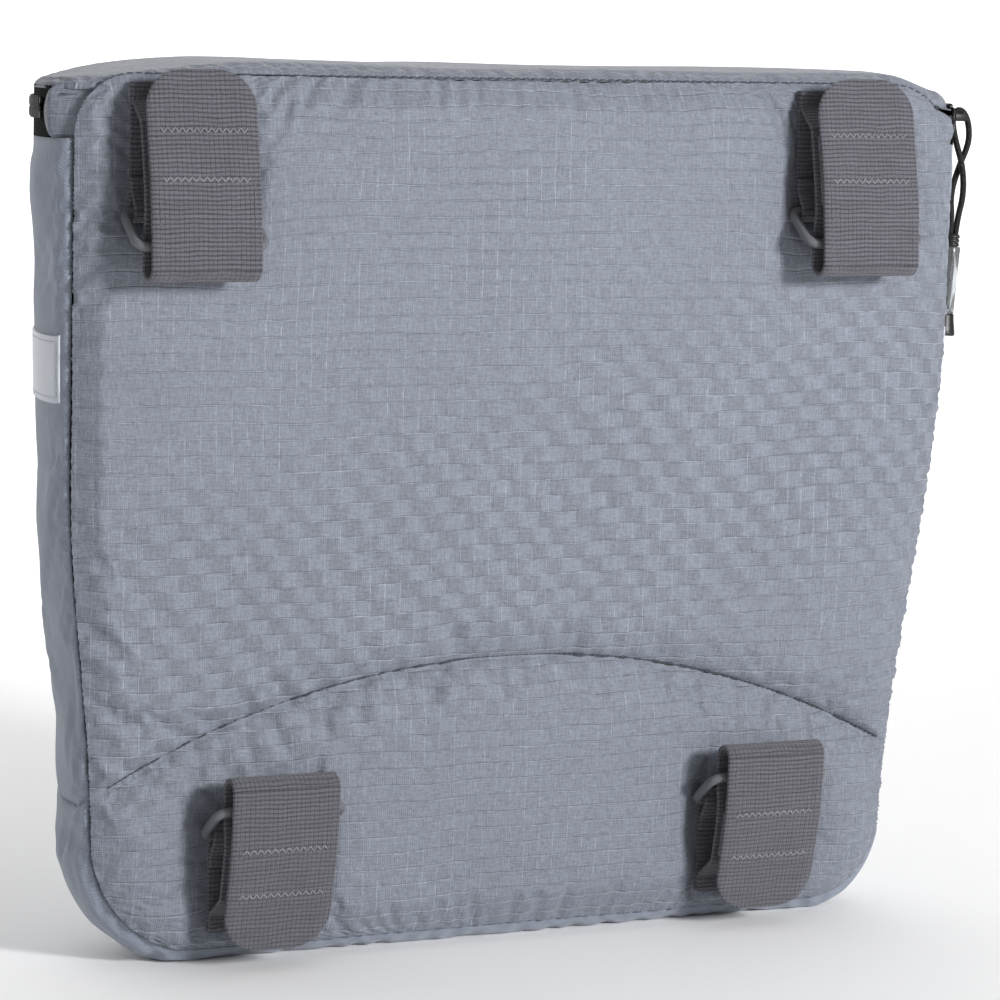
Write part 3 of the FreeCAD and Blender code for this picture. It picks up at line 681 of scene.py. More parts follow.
def metal_material():
    """Black enamelled zip metal, with the enamel rubbed at places."""
    n = Nodes("zip_metal")
    place, _ = n.place()
    rub = n.math("MULTIPLY_ADD", n.noise(place, 0.9, 4.0, 0.7), 4.0, -2.3, clamp=True)
    colour = n.mix(rub, rgb(14, 14, 15), rgb(34, 34, 36))
    return n.finish(
        colour, n.spread(rub, 0.38, 0.5), n.bump(n.noise(place, 3.0), 0.03, 0.5), Metallic=0.4
    )


def cord_material():
    """Black braided cord."""
    n = Nodes("braid")
    _, axes = n.place()
    around = n.math("ADD", axes[0], axes[1])
    first = n.wave(n.math("ADD", n.math("MULTIPLY", around, 1.6), axes[2]), 1.5)
    second = n.wave(n.math("SUBTRACT", n.math("MULTIPLY", around, 1.6), axes[2]), 1.5)
    braid = n.math("MAXIMUM", first, second)
    colour = n.tint(rgb(19, 19, 20), n.spread(braid, 0.5, 1.3))
    return n.finish(colour, 0.62, n.bump(braid, 0.2, 0.8), Specular_IOR_Level=0.3)


def clear_material():
    """Clear soft tube with a faint haze."""
    n = Nodes("clear_tube")
    place, _ = n.place()
    haze = n.noise(place, 0.5, 3.0)
    return n.finish(
        rgb(240, 243, 246), n.spread(haze, 0.06, 0.16), None,
        Transmission_Weight=0.93, IOR=1.35, Specular_IOR_Level=0.6,
    )


def lining_material():
    """Dark plain-woven lining."""
    n = Nodes("lining")
    place, u, v = n.uv()
    weave = n.math("MULTIPLY", n.wave(u, 0.8), n.wave(v, 0.8, 1.0))
    fold = n.noise(place, 0.05, 3.0)
    colour = n.tint(rgb(84, 88, 97), n.math("ADD", n.spread(weave, 0.8, 1.05), 0.0))
    rough = n.spread(fold, 0.5, 0.65)
    return n.finish(colour, rough, n.bump(weave, 0.12, 0.6), Sheen_Weight=0.2)


def patch_material(name, colour, pile):
    """Hook tape or brushed loop tape: a dense field of short pile."""
    n = Nodes(name)
    place, _ = n.place()
    field = n.noise(place, 1.1 / pile, 3.0, 0.75)
    colour = n.tint(colour, n.spread(field, 0.4, 1.6))
    return n.finish(colour, 0.9, n.bump(field, 0.5, 1.0), Sheen_Weight=0.5)


MATERIALS = {
    "ripstop": ripstop_material(),
    "twill": twill_material(),
    "webbing": webbing_material(),
    "reflective": reflective_material(),
    "zip_tape": zip_tape_material(),
    "zip_coil": plastic_material("zip_coil", rgb(24, 26, 28), 0.42),
    "zip_metal": metal_material(),
    "cord": cord_material(),
    "black_plastic": plastic_material("black_plastic", rgb(16, 16, 17), 0.42),
    "clear_tube": clear_material(),
    "lining": lining_material(),
    "foam": patch_material("foam", rgb(60, 60, 62), 1.5),
    "board": plastic_material("board", rgb(40, 40, 42), 0.5),
    "binding": patch_material("binding", rgb(52, 53, 58), 2.5),
    "hook": patch_material("hook", rgb(62, 62, 66), 1.0),
    "loop": patch_material("loop", rgb(74, 73, 78), 0.8),
    "ring": plastic_material("ring", rgb(96, 97, 102), 0.42),
    "thread_grey": thread_material("thread_grey", rgb(120, 125, 136)),
    "thread_dark": thread_material("thread_dark", rgb(96, 95, 102)),
    # Dark seam thread: painted shade in the arc seam's groove and along the top seam.
    "thread_seam_shade": thread_material("thread_seam_shade", rgb(66, 70, 80)),
    "thread_strap": thread_material("thread_strap", rgb(138, 136, 140)),
    "thread_light": thread_material("thread_light", rgb(176, 181, 190)),
}


def dress(obj, material, body=None):
    """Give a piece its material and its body."""
    obj.data.materials.clear()
    obj.data.materials.append(MATERIALS[material])
    if body is not None:
        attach(obj, body)
    return obj


def dress_cad_nodes():
    """CAD nodes that stay get the material of their slot."""
    slots = {row["node"]: row["material_slot"] for row in frame["record"]["subparts"]}
    for node, slot in slots.items():
        obj = frame["nodes"][node]
        for index in range(max(1, len(obj.material_slots))):
            if not obj.material_slots:
                obj.data.materials.append(MATERIALS[slot])
            obj.material_slots[index].material = MATERIALS[slot]


# ---------------------------------------------------------------- stitches


def thread_mesh(name, stitches, radius, sides=6):
    """Each stitch is a short rounded length of thread from one point to another."""
    points, faces = [], []
    profile = ((0.0, 0.25), (0.12, 0.8), (0.3, 1.0), (0.7, 1.0), (0.88, 0.8), (1.0, 0.25))
    angles = np.linspace(0, 2 * np.pi, sides, endpoint=False)
    for start, end in stitches:
        start, end = np.asarray(start, float), np.asarray(end, float)
        along = end - start
        along = along / max(np.linalg.norm(along), 1e-9)
        side = np.cross(along, (0.3, 1.0, 0.2))
        side = side / np.linalg.norm(side)
        other = np.cross(along, side)
        base = len(points)
        for place, width in profile:
            centre = start + (end - start) * place
            for angle in angles:
                reach = radius * width
                points.append(centre + reach * (math.cos(angle) * side + math.sin(angle) * other))
        for ring in range(len(profile) - 1):
            for k in range(sides):
                a = base + ring * sides + k
                b = base + ring * sides + (k + 1) % sides
                faces.append((a, b, b + sides, a + sides))
        faces.append(tuple(base + k for k in reversed(range(sides))))
        last = base + (len(profile) - 1) * sides
        faces.append(tuple(last + k for k in range(sides)))
    return mesh_object(name, np.array(points), faces)


def stitches_along(path, pitch, share=0.72):
    """Start and end of each stitch along a line of points."""
    path = np.asarray(path, float)
    steps = np.linalg.norm(np.diff(path, axis=0), axis=1)
    reach = np.concatenate([[0], np.cumsum(steps)])
    count = max(1, int(reach[-1] / pitch))
    starts = (np.arange(count) + (1 - share) / 2) * reach[-1] / count
    ends = starts + share * reach[-1] / count

    def at(where):
        return np.stack([np.interp(where, reach, path[:, k]) for k in range(3)], 1)

    return list(zip(at(starts), at(ends)))



# ---------------------------------------------------------------- camera, light and floor


def camera():
    """Camera at the left of the back panel and a little above the bag."""
    azimuth, elevation, roll = math.radians(-26.45), math.radians(7.04), math.radians(1.45)
    distance = 1.3855
    target = Vector((-0.005, 0.0, 0.1514))
    back = Vector((
        math.sin(azimuth) * math.cos(elevation),
        -math.cos(azimuth) * math.cos(elevation),
        math.sin(elevation),
    ))
    data = bpy.data.cameras.new("camera")
    data.sensor_width = 36
    data.lens = 147.6
    obj = bpy.data.objects.new("camera", data)
    bpy.context.scene.collection.objects.link(obj)
    obj.location = target + back * distance
    obj.rotation_euler = (-back).to_track_quat("-Z", "Y").to_euler()
    obj.rotation_euler.rotate_axis("Z", roll)
    bpy.context.scene.camera = obj


def area_light(name, place, aim, size, power):
    """Large soft light pointing at a place."""
    data = bpy.data.lights.new(name, "AREA")
    data.shape = "RECTANGLE"
    data.size, data.size_y = size
    data.energy = power
    obj = bpy.data.objects.new(name, data)
    bpy.context.scene.collection.objects.link(obj)
    obj.location = place
    obj.rotation_euler = (Vector(aim) - Vector(place)).to_track_quat("-Z", "Y").to_euler()


def studio():
    """White surroundings, pale floor that curves up behind, key light from the right front."""
    world = bpy.data.worlds.new("studio")
    world.use_nodes = True
    world.node_tree.nodes["Background"].inputs[0].default_value = (1, 1, 1, 1)
    world.node_tree.nodes["Background"].inputs[1].default_value = 0.26
    bpy.context.scene.world = world
    bpy.context.scene.view_settings.view_transform = "Standard"
    area_light("key", (0.80, -1.75, 0.72), (0, 0, 0.15), (0.36, 0.36), 44)
    area_light("fill", (-1.3, -0.9, 0.5), (0, 0, 0.15), (1.2, 1.2), 2.5)
    area_light("top", (0.1, 0.1, 1.6), (0, 0, 0.2), (1.2, 1.2), 3.5)
    turn = np.linspace(0, np.pi / 2, 14)
    depth = np.concatenate([[-3000, -1500, 0], 1200 + 900 * np.sin(turn), [2100, 2100]])
    height = np.concatenate([[0, 0, 0], 900 * (1 - np.cos(turn)), [1800, 3200]])
    x = np.linspace(-3500, 3500, 12)
    points = np.stack([
        x[None, :] + 0 * depth[:, None], depth[:, None] + 0 * x, height[:, None] + 0 * x
    ], -1)
    floor = grid_object("floor", points, points[..., :2])
    n = Nodes("floor")
    place, axes = n.place()
    glow = n.math("MULTIPLY", n.math("DIVIDE", axes[1], 2100), 0.75, clamp=True)
    n.finish(
        n.tint(rgb(250, 250, 250), n.spread(n.noise(place, 0.01), 0.99, 1.0)), 0.8,
        Emission_Color=rgb(255, 255, 255), Emission_Strength=glow,
    )
    floor.data.materials.append(n.material)



# ---------------------------------------------------------------- back panel
EDGE_DEPTH = 0.2


def tuck(points, target, gap, roll):
    """Roll the edge of a cloth into its seam: gap is how far each point is from the edge."""
    t = np.clip(gap / roll, 0, 1)[..., None]
    share = 1 - np.sqrt(np.maximum(1 - (1 - t) ** 2, 0))
    return points + (target - points) * share


def strap_plan(name):
    """Places of one rack strap, read from its CAD nodes: fold height, length, direction."""
    up = 1 if name.startswith("top") else -1
    tail_low, tail_high = node_box(f"{name}_strap_tail")
    base_low, base_high = node_box(f"{name}_strap_base")
    middle = (tail_low[0] + tail_high[0]) / 2
    fold, tip = (tail_low[2], tail_high[2]) if up > 0 else (tail_high[2], tail_low[2])
    return {
        "x": middle, "up": up, "fold": fold, "length": abs(tip - fold),
        "base": (base_low[2], base_high[2]), "half": (tail_high[0] - tail_low[0]) / 2,
    }


def panel_layout(shape):
    """Grid of places over the back panel, closer together near its edges."""
    height = SEAM_HIGH - SEAM_LOW
    z = SEAM_LOW + 0.15 + (height - 0.3) * dense_ends(shape[0])[:, None]
    s = 2 * dense_ends(shape[1], 0.45)[None, :] - 1
    return spread_across(z, s), z + 0 * s


def straps_hold(x, z):
    """1 where a strap is sewn flat on the panel, falling to 0 round it."""
    hold = np.zeros_like(x)
    for name in STRAPS:
        plan = strap_plan(name)
        across = smooth((plan["half"] + 5 - np.abs(x - plan["x"])) / 6)
        middle, half = np.mean(plan["base"]), np.ptp(plan["base"]) / 2
        along = smooth((half + 4 - np.abs(z - middle)) / 7)
        hold = np.maximum(hold, across * along)
    return hold


def panel_form(x, z):
    """Depth of the padded panel before it is inflated, its edge rolled into the seam."""
    distance = edge_distance(x, z)
    roll, edge_y = 7.0, EDGE_DEPTH
    t = np.clip(distance / roll, 0, 1)
    y = edge_y + (PANEL_FACE - edge_y) * np.sqrt(np.maximum(1 - (1 - t) ** 2, 0))
    seam_gap = np.abs(z - arc_height(x))
    y = y - 2.0 * smooth((distance - 4) / 60) * smooth(seam_gap / 34)
    hold = straps_hold(x, z)
    y = y * (1 - hold) + np.maximum(y, PANEL_FACE + 0.1) * hold
    return y, distance, seam_gap, hold


def back_panel():
    """Padded outer face of the back: one pillow, sewn down round its edge and along the arc."""
    shape, coarse = (340, 270), (96, 110)
    x, z = panel_layout(coarse)
    y, distance, seam_gap, hold = panel_form(x, z)
    held = np.clip(np.maximum(1 - distance / 3.2, (seam_gap < 1.8) * 1.0), 0, 1)
    held = np.maximum(held, hold * 0.95)
    drift = inflate(np.stack([x, y, z], -1), held, (0, -9, 0), 0.03)
    drift = np.clip(drift, -4, 4)

    x, z = panel_layout(shape)
    y, distance, seam_gap, hold = panel_form(x, z)
    points = np.stack([x, y, z], -1) + resample(drift, shape)
    inner = smooth((distance - 2) / 12) * (1 - hold)
    wrinkle = 0.8 * soft_noise(shape, (9, 7), 3) + 0.4 * soft_noise(shape, (26, 16), 4)
    diagonal = soft_noise(shape, (5, 5), 8) * np.sin((x * 0.55 + z * 0.83) * 2 * np.pi / 46)
    points[..., 1] += (wrinkle * 0.7 + 0.5 * diagonal) * inner
    signed = z - arc_height(x)
    groove = np.exp(-(signed / 0.9) ** 2)
    ledge = smooth(signed / 1.4 + 0.5) * np.exp(-((signed - 1.5) / 8.0) ** 2)
    near_arc = np.exp(-(seam_gap / 6.0) ** 2) * (1 - groove)
    pucker = np.sin(x * 2 * np.pi / 8.5 + 2.2 * soft_noise(shape, (2, 14), 9))
    calm = (1 - 0.7 * hold) * smooth(distance / 6)
    points[..., 1] += (1.6 * groove - 1.2 * ledge + 0.25 * near_arc * pucker) * calm
    points[..., 1] = np.maximum(points[..., 1], PANEL_FACE - 4.5)

    panel = grid_object("back_panel_cover", points, np.stack([x, z], -1), flip=True)
    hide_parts("back_panel_upper", "back_panel_lower")
    dress(panel, "ripstop", "bag")
    panel_padding(points, distance)
    panel_stitches(points)


def panel_padding(points, distance):
    """Foam behind the cover: its face follows the cover, its back lies on the board."""
    step = 4
    front = points[::step, ::step].copy()
    near = np.clip(distance[::step, ::step], 0, 30)
    front[..., 1] = np.maximum(front[..., 1] + 1.3, FOAM_FACE + 0.4)
    front[..., 1] = np.where(near < 3, FOAM_BACK - 0.6, front[..., 1])
    back = front.copy()
    back[..., 1] = FOAM_BACK
    rows, cols = front.shape[:2]
    joined = np.concatenate([front, back[::-1]])
    faces = grid_faces(2 * rows, cols)
    obj = mesh_object("back_foam_pad", joined.reshape(-1, 3), faces, joined.reshape(-1, 3)[:, ::2])
    shrink = 0.972
    obj.data.transform(Matrix.Diagonal((shrink, 1, 1, 1)))
    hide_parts("back_foam")
    dress(obj, "foam", "bag")


def surface_depth(points, x, z):
    """Y of the panel face nearest to given places."""
    flat = points.reshape(-1, 3)
    found = []
    for place_x, place_z in zip(x, z):
        gap = (flat[:, 0] - place_x) ** 2 + (flat[:, 2] - place_z) ** 2
        found.append(flat[gap.argmin(), 1])
    return np.array(found)


def panel_stitches(points):
    """Needle line below the arc seam, a dark thread that paints the shade in the arc seam's groove,
    and dark stitches that paint the shade line in the seam along the panel's top edge.
    """
    x = np.linspace(-146, 146, 160)
    z = arc_height(x) - 2.4
    y = surface_depth(points, x, z) - 0.02
    arc = stitches_along(np.stack([x, y, z], 1), 3.3)
    obj = thread_mesh("arc_stitching", arc, 0.15)
    dress(obj, "thread_grey", "bag")
    # Painted shade: a continuous dark thread lies in the arc seam's groove to draw its shadow line.
    seam_z = arc_height(x) + 0.25
    seam = np.stack([x, surface_depth(points, x, seam_z) - 0.2, seam_z], 1)
    fold = thread_mesh("arc_seam_shade_thread", list(zip(seam[:-1], seam[1:])), 0.45)
    dress(fold, "thread_seam_shade", "bag")
    # Real stitches along the top seam, darkened to paint the shade line in the seam.
    x = np.linspace(-154, 163, 400)
    edge = np.stack([x, np.full(len(x), EDGE_DEPTH - 1.3), panel_top(x) + 0.25], 1)
    obj = thread_mesh("top_seam_shade_thread", stitches_along(edge, 3.2), 0.25)
    dress(obj, "thread_seam_shade", "bag")


# ---------------------------------------------------------------- gussets, front and bottom
BACK_ANGLE = math.asin((0.8 - WRAP_Y) / WRAP_RADIUS)
FRONT_SEAM_ANGLE = math.radians(62)


def wrap_outline(angle, count, offset=0.0):
    """Points (x, z) of one upright outline of the wrap, from the left top round the bottom."""
    y = WRAP_Y + WRAP_RADIUS * math.sin(angle)
    low = float(base_height(np.array(y))) - offset
    sides = {}
    for side in (-1, 1):
        corner = wrap_corner(side, angle) + offset
        heights = np.concatenate([
            np.linspace(BODY_TOP, low + corner, 60),
            low + corner * (1 - np.sin(np.linspace(0, np.pi / 2, 40)))[1:],
        ])
        half = wrap_half(side, angle, heights, offset)
        half = half - cut_corner(corner, low + corner - heights)
        sides[side] = np.stack([side * half, heights], 1)
    line = np.concatenate([sides[-1], sides[1][::-1]])
    return even_line(line, count)


def wrap_grid(angles, count, offset=0.0):
    """Grid of the wrap: one row per angle, columns round the outline. UV follows the cloth."""
    points, uv = [], []
    around = np.linspace(0, 780, count)
    for angle in angles:
        y = WRAP_Y + (WRAP_RADIUS + offset) * math.sin(angle)
        line = wrap_outline(angle, count, offset)
        points.append(np.stack([line[:, 0], np.full(count, y), line[:, 1]], 1))
        uv.append(np.stack([np.full(count, WRAP_RADIUS * angle), around], 1))
    return np.array(points), np.array(uv)


def wrap_outward(points):
    """Unit normals of the wrap that point away from the inside of the bag."""
    normal = normals_of(points)
    middle = normal[points.shape[0] // 2, points.shape[1] // 5]
    return normal if middle[0] < 0 else -normal


def seam_roll(gap, roll=5.0, depth=2.6):
    """How far cloth sinks towards a seam that is this far away."""
    t = np.clip(gap / roll, 0, 1)
    return -depth * (1 - np.sqrt(np.maximum(1 - (1 - t) ** 2, 0)))


def back_seam_line(count, depth):
    """Points under the edge of the back panel, from its left top round the bottom."""
    sides = {}
    for side in (-1, 1):
        corner = PANEL_CORNER[side]
        heights = np.concatenate([
            np.linspace(BODY_TOP, SEAM_LOW + corner, 60),
            SEAM_LOW + corner * (1 - np.sin(np.linspace(0, np.pi / 2, 40)))[1:],
        ])
        sides[side] = np.stack([side * (panel_half(side, heights) - 0.4), heights + 0.4], 1)
    line = even_line(np.concatenate([sides[-1], sides[1][::-1]]), count)
    return np.stack([line[:, 0], np.full(count, depth), line[:, 1]], 1)


def gussets():
    """Side and bottom gussets: one simulated strip, divided at its two seams."""
    shape, coarse = (64, 560), (26, 190)
    run = 62.0
    patch_height, patch_reach, patch_edge = 198.0, 24.0, 46.0

    def rest(shape):
        progress = dense_ends(shape[0], 0.5)
        angles = BACK_ANGLE + (FRONT_SEAM_ANGLE - BACK_ANGLE) * progress
        points, uv = wrap_grid(angles, shape[1])
        gap = np.minimum(progress, 1 - progress)[:, None] * run
        outward = wrap_outward(points)
        front_gap = (1 - progress)[:, None] * run + 0 * points[..., 0]
        back_gap = progress[:, None] * run + 0 * points[..., 0]
        points = points + outward * seam_roll(front_gap)[..., None]
        seam = back_seam_line(shape[1], EDGE_DEPTH + 0.3)[None]
        return tuck(points, seam, back_gap, 4.5), uv, outward, gap

    points, uv, outward, gap = rest(coarse)
    held = np.clip(1 - gap / 3, 0, 1) * np.ones(coarse[1])
    held[:, :2] = 1
    held[:, -2:] = 1
    drift = 0.8 * np.clip(inflate(points, held, (0, 0, -2), 0.02), -2, 2)
    inward = np.minimum((drift * outward).sum(-1, keepdims=True) + 0.7, 0)
    drift = drift - outward * inward
    points, uv, outward, gap = rest(shape)
    tape = np.exp(-((points[..., 2] - patch_height) / patch_reach) ** 4)
    tape = tape * smooth((patch_edge - points[..., 1]) / 8)
    points = points + resample(drift, shape) * (1 - 0.85 * tape[..., None])
    floor_zone = smooth((12 - points[..., 2]) / 8)
    swell = 0.8 * soft_noise(shape, (3, 40), 21) + 0.4 * soft_noise(shape, (5, 90), 22) - 0.3
    calm = (1 - 0.9 * floor_zone) * (1 - 0.85 * tape)
    points = points + outward * (swell * smooth(gap / 8) * calm)[..., None]
    points[..., 2] = np.maximum(points[..., 2], 0.15)

    side_seam = 58.0
    middle = points[shape[0] // 2]
    left_end = int(np.argmin(np.abs(middle[: shape[1] // 2, 2] - side_seam)))
    right_end = shape[1] - 1 - int(np.argmin(np.abs(middle[::-1][: shape[1] // 2, 2] - side_seam)))
    last = shape[1] - 1
    gusset("left_gusset", points, uv, outward, (0, left_end))
    gusset("right_gusset", points, uv, outward, (right_end, last))
    gusset("bottom_gusset", points, uv, outward, (left_end, right_end))
    for side, name in ((-1, "left_reflector"), (1, "right_reflector")):
        reflector(name, points, outward, side)


def gusset(node, points, uv, outward, span):
    """One gusset cut from the strip, its cut ends rolled into the seam."""
    first, last = span
    part = points[:, first:last + 1].copy()
    run = np.arange(last - first + 1) * 1.45
    sink = np.zeros(len(run))
    if first > 0:
        sink -= 1.2 * np.exp(-(run / 1.7) ** 2)
    if last < points.shape[1] - 1:
        sink -= 1.2 * np.exp(-((run[-1] - run) / 1.7) ** 2)
    part = part + outward[:, first:last + 1] * sink[None, :, None]
    obj = grid_object(node + "_cover", part, uv[:, first:last + 1])
    face_outward(obj, outward[points.shape[0] // 2, (first + last) // 2], part.shape)
    thicken(obj, 1.2)
    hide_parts(node)
    dress(obj, "twill", "bag")


def face_outward(obj, away, shape):
    """Turn a sheet's faces so that the face in the middle of its grid looks away."""
    mesh = obj.data
    face = mesh.polygons[(shape[0] // 2) * (shape[1] - 1) + shape[1] // 2]
    if face.normal.dot(Vector(tuple(float(v) for v in away))) < 0:
        mesh.flip_normals()


def reflector(node, points, outward, side):
    """Reflective tape sewn flat on a gusset, with a raised stitched border."""
    low, high = node_box(node)[0][2] + 0.3, node_box(node)[1][2] + 0.3
    start, end = 2.6, 44.0
    row_y = points[:, points.shape[1] // 5, 1]
    rows = np.where((row_y > start) & (row_y < end))[0]
    half = points.shape[1] // 2
    columns = np.arange(half) if side < 0 else np.arange(half, points.shape[1])
    height = points[points.shape[0] // 2, columns, 2]
    columns = columns[(height > low) & (height < high)]
    zone = np.ix_(rows, columns)
    shape = (70, 44)
    base = resample(points[zone], shape)
    away = resample(outward[zone], shape)
    r = np.linspace(0, 1, shape[0])[:, None] * np.ones(shape[1])
    c = np.linspace(0, 1, shape[1])[None, :] * np.ones((shape[0], 1))
    edge = np.minimum(np.minimum(r, 1 - r) * 42, np.minimum(c, 1 - c) * 22.5)
    lift = 0.55 * smooth(edge / 0.5) - 0.18 * np.exp(-((edge - 2.0) / 0.5) ** 2)
    patch = base + away * (0.12 + lift)[..., None]
    uv = np.stack([c * 22.5, r * 42], -1)
    obj = grid_object(node + "_tape", patch, uv)
    face_outward(obj, away[35, 22], shape)
    thicken(obj, 0.5)
    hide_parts(node)
    dress(obj, "reflective", "bag")
    border = [(0.05, 0.09), (0.95, 0.09), (0.95, 0.91), (0.05, 0.91), (0.05, 0.09)]
    line = even_line(np.array(border), 200)
    rows_at, cols_at = line[:, 0] * (shape[0] - 1), line[:, 1] * (shape[1] - 1)
    index = (np.round(rows_at).astype(int), np.round(cols_at).astype(int))
    path = patch[index] + away[index] * 0.1
    stitched = thread_mesh(node + "_stitching", stitches_along(path, 2.6), 0.14)
    dress(stitched, "thread_light", "bag")


def front_form(x, z, offset=0.0):
    """Depth of the front at a place: round at the sides and the bottom, flat between."""
    depth = np.full(np.shape(x), WRAP_FRONT + 0.0)
    for side in (-1, 1):
        centre = reach(side, z) + bulge(side, z) - WRAP_RADIUS
        out = np.clip(side * x - centre, 0, WRAP_RADIUS)
        depth = np.minimum(depth, WRAP_Y + np.sqrt(WRAP_RADIUS ** 2 - out ** 2))
    rise = np.clip(BASE_RADIUS - z, 0, BASE_RADIUS)
    base = WRAP_FRONT - BASE_RADIUS + np.sqrt(BASE_RADIUS ** 2 - rise ** 2)
    return np.minimum(depth, base) + offset


def front_layout(shape, inset=0.0):
    """Grid over the front panel, out to its seam with the gussets."""
    seam_y = WRAP_Y + WRAP_RADIUS * math.sin(FRONT_SEAM_ANGLE)
    low = float(base_height(np.array(seam_y))) + inset
    z = low + 0.1 + (BODY_TOP - low - 0.1) * dense_ends(shape[0])[:, None]
    s = 2 * dense_ends(shape[1], 0.45)[None, :] - 1
    halves = {}
    for side in (-1, 1):
        corner = wrap_corner(side, FRONT_SEAM_ANGLE)
        half = wrap_half(side, FRONT_SEAM_ANGLE, z) - inset
        halves[side] = half - cut_corner(corner, low + corner - z)
    x = np.where(s < 0, s * halves[-1], s * halves[1])
    edge = np.where(s < 0, halves[-1] - np.abs(x), halves[1] - np.abs(x))
    edge = np.minimum(edge, z - low)
    return x, z + 0 * s, edge


def front_panel():
    """Front of the bag: a soft pillow sewn to the gussets, straight along the zip."""
    shape, coarse = (190, 230), (80, 96)

    def rest(shape):
        x, z, edge = front_layout(shape)
        crown = smooth(edge / 40) * smooth((BODY_TOP - z) / 60)
        y = front_form(x, z) + 2.6 * crown + seam_roll(edge, 5.0, 2.4)
        return np.stack([x, y, z], -1), edge

    points, edge = rest(coarse)
    held = np.clip(1 - np.minimum(edge, BODY_TOP - points[..., 2]) / 3, 0, 1)
    drift = np.clip(inflate(points, held, (0, 7, -3), 0.03), -4, 4)
    most_in, most_out = -0.7, 0.8
    drift[..., 1] = np.clip(drift[..., 1], most_in, most_out)
    points, edge = rest(shape)
    points = points + resample(drift, shape)
    calm = smooth(edge / 12) * smooth((BODY_TOP - points[..., 2]) / 14)
    fold = 1.3 * soft_noise(shape, (7, 5), 31) + 0.6 * soft_noise(shape, (20, 13), 32)
    points[..., 1] += fold * calm * 0.7
    panel = grid_object("front_panel_cover", points, points[..., ::2])
    face_outward(panel, (0, 1, 0), shape)
    thicken(panel, 1.2)
    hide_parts("front_panel")
    dress(panel, "ripstop", "bag")


# ---------------------------------------------------------------- linings and bindings


def linings():
    """Dark lining inside the body, behind the back panel and under the lid."""
    inset = 3.4
    first = math.asin((5.6 - WRAP_Y) / WRAP_RADIUS)
    points, uv = wrap_grid(np.linspace(first, FRONT_SEAM_ANGLE, 40), 300, -inset)
    ripple = 0.35 * soft_noise(points.shape[:2], (4, 50), 51)
    points = points - wrap_outward(points) * (ripple + 0.3)[..., None]
    side = grid_object("body_lining_sides", points, uv)
    x, z, _ = front_layout((90, 110), inset)
    y = front_form(x, z, -inset - 0.3) + 0.35 * soft_noise(x.shape, (12, 10), 52)
    front = grid_object("body_lining_front", np.stack([x, y, z], -1), np.stack([x, z], -1))
    for obj in (side, front):
        thicken(obj, 0.5)
        dress(obj, "lining", "bag")
    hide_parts("body_lining")

    z = np.linspace(SEAM_LOW + 4, SEAM_HIGH - 5, 120)[:, None]
    s = np.linspace(-1, 1, 140)[None, :]
    x = spread_across(z, s, 4.0)
    y = 4.45 + 0.22 * soft_noise(x.shape, (14, 16), 53)
    cloth = grid_object("back_lining_cover", np.stack([x, y, z + 0 * s], -1),
                        np.stack([x, z + 0 * s], -1))
    face_outward(cloth, (0, 1, 0), x.shape)
    thicken(cloth, 0.3)
    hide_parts("back_lining")
    dress(cloth, "lining", "bag")

    low, high = node_box("lid_lining")
    y = np.linspace(low[1] + 1, high[1] - 0.5, 50)[:, None]
    s = np.linspace(-1, 1, 150)[None, :]
    x = np.where(s < 0, s * mouth_half(-1, y, -1.6), s * mouth_half(1, y, -1.6))
    z = low[2] + 0.3 + 0.3 * soft_noise(x.shape, (6, 16), 54) - lid_fall(x, y)
    cloth = grid_object("lid_lining_cover", np.stack([x, y + 0 * x, z], -1),
                        np.stack([x, y + 0 * x], -1))
    face_outward(cloth, (0, 0, -1), x.shape)
    thicken(cloth, 0.5)
    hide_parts("lid_lining")
    dress(cloth, "lining", "lid")


def tape_along(name, path, flat, width, thickness, material, node):
    """Soft tape swept along a path: flat is the direction of its width at each point."""
    along = np.gradient(path, axis=0)
    along /= np.linalg.norm(along, axis=1, keepdims=True)
    flat = flat / np.linalg.norm(flat, axis=1, keepdims=True)
    up = np.cross(along, flat)
    angles = np.linspace(0, 2 * np.pi, 15)
    squash = np.sign(np.cos(angles)) * np.abs(np.cos(angles)) ** 0.5
    squish = np.sign(np.sin(angles)) * np.abs(np.sin(angles)) ** 0.5
    points = path[:, None] + flat[:, None] * squash[None, :, None] * width / 2
    points = points + up[:, None] * squish[None, :, None] * thickness / 2
    run = np.concatenate([[0], np.cumsum(np.linalg.norm(np.diff(path, axis=0), axis=1))])
    uv = np.stack([run[:, None] + 0 * angles, (squash * width / 2)[None, :] + 0 * run[:, None]], -1)
    obj = grid_object(name, points, uv)
    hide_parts(node)
    return dress(obj, material, "bag")


def bindings():
    """Binding tape over the raw seam edges inside the bag."""
    line = panel_outline(7.6, 500)
    low, high = node_box("back_seam_binding")
    depth = (low[1] + high[1]) / 2
    path = np.stack([line[:, 0], np.full(len(line), depth), line[:, 1]], 1)
    inward = np.array([MOUTH_MIDDLE, depth, 150.0]) - path
    inward[:, 1] = 0
    tape_along("back_seam_tape", path, inward, 7.4, 1.3, "binding", "back_seam_binding")
    outline = wrap_outline(FRONT_SEAM_ANGLE, 600, -7.2)
    depth = WRAP_Y + (WRAP_RADIUS - 5.0) * math.sin(FRONT_SEAM_ANGLE)
    path = np.stack([outline[:, 0], np.full(len(outline), depth), outline[:, 1]], 1)
    path = path[path[:, 2] < BODY_TOP - 1.5]
    inward = np.array([MOUTH_MIDDLE, depth, 170.0]) - path
    inward[:, 1] = 0
    tape_along("front_seam_tape", path, inward, 8.0, 1.6, "binding", "front_seam_binding")


# ---------------------------------------------------------------- lid and zip
LID_REST = 0.4
LID_EDGE = 5.0


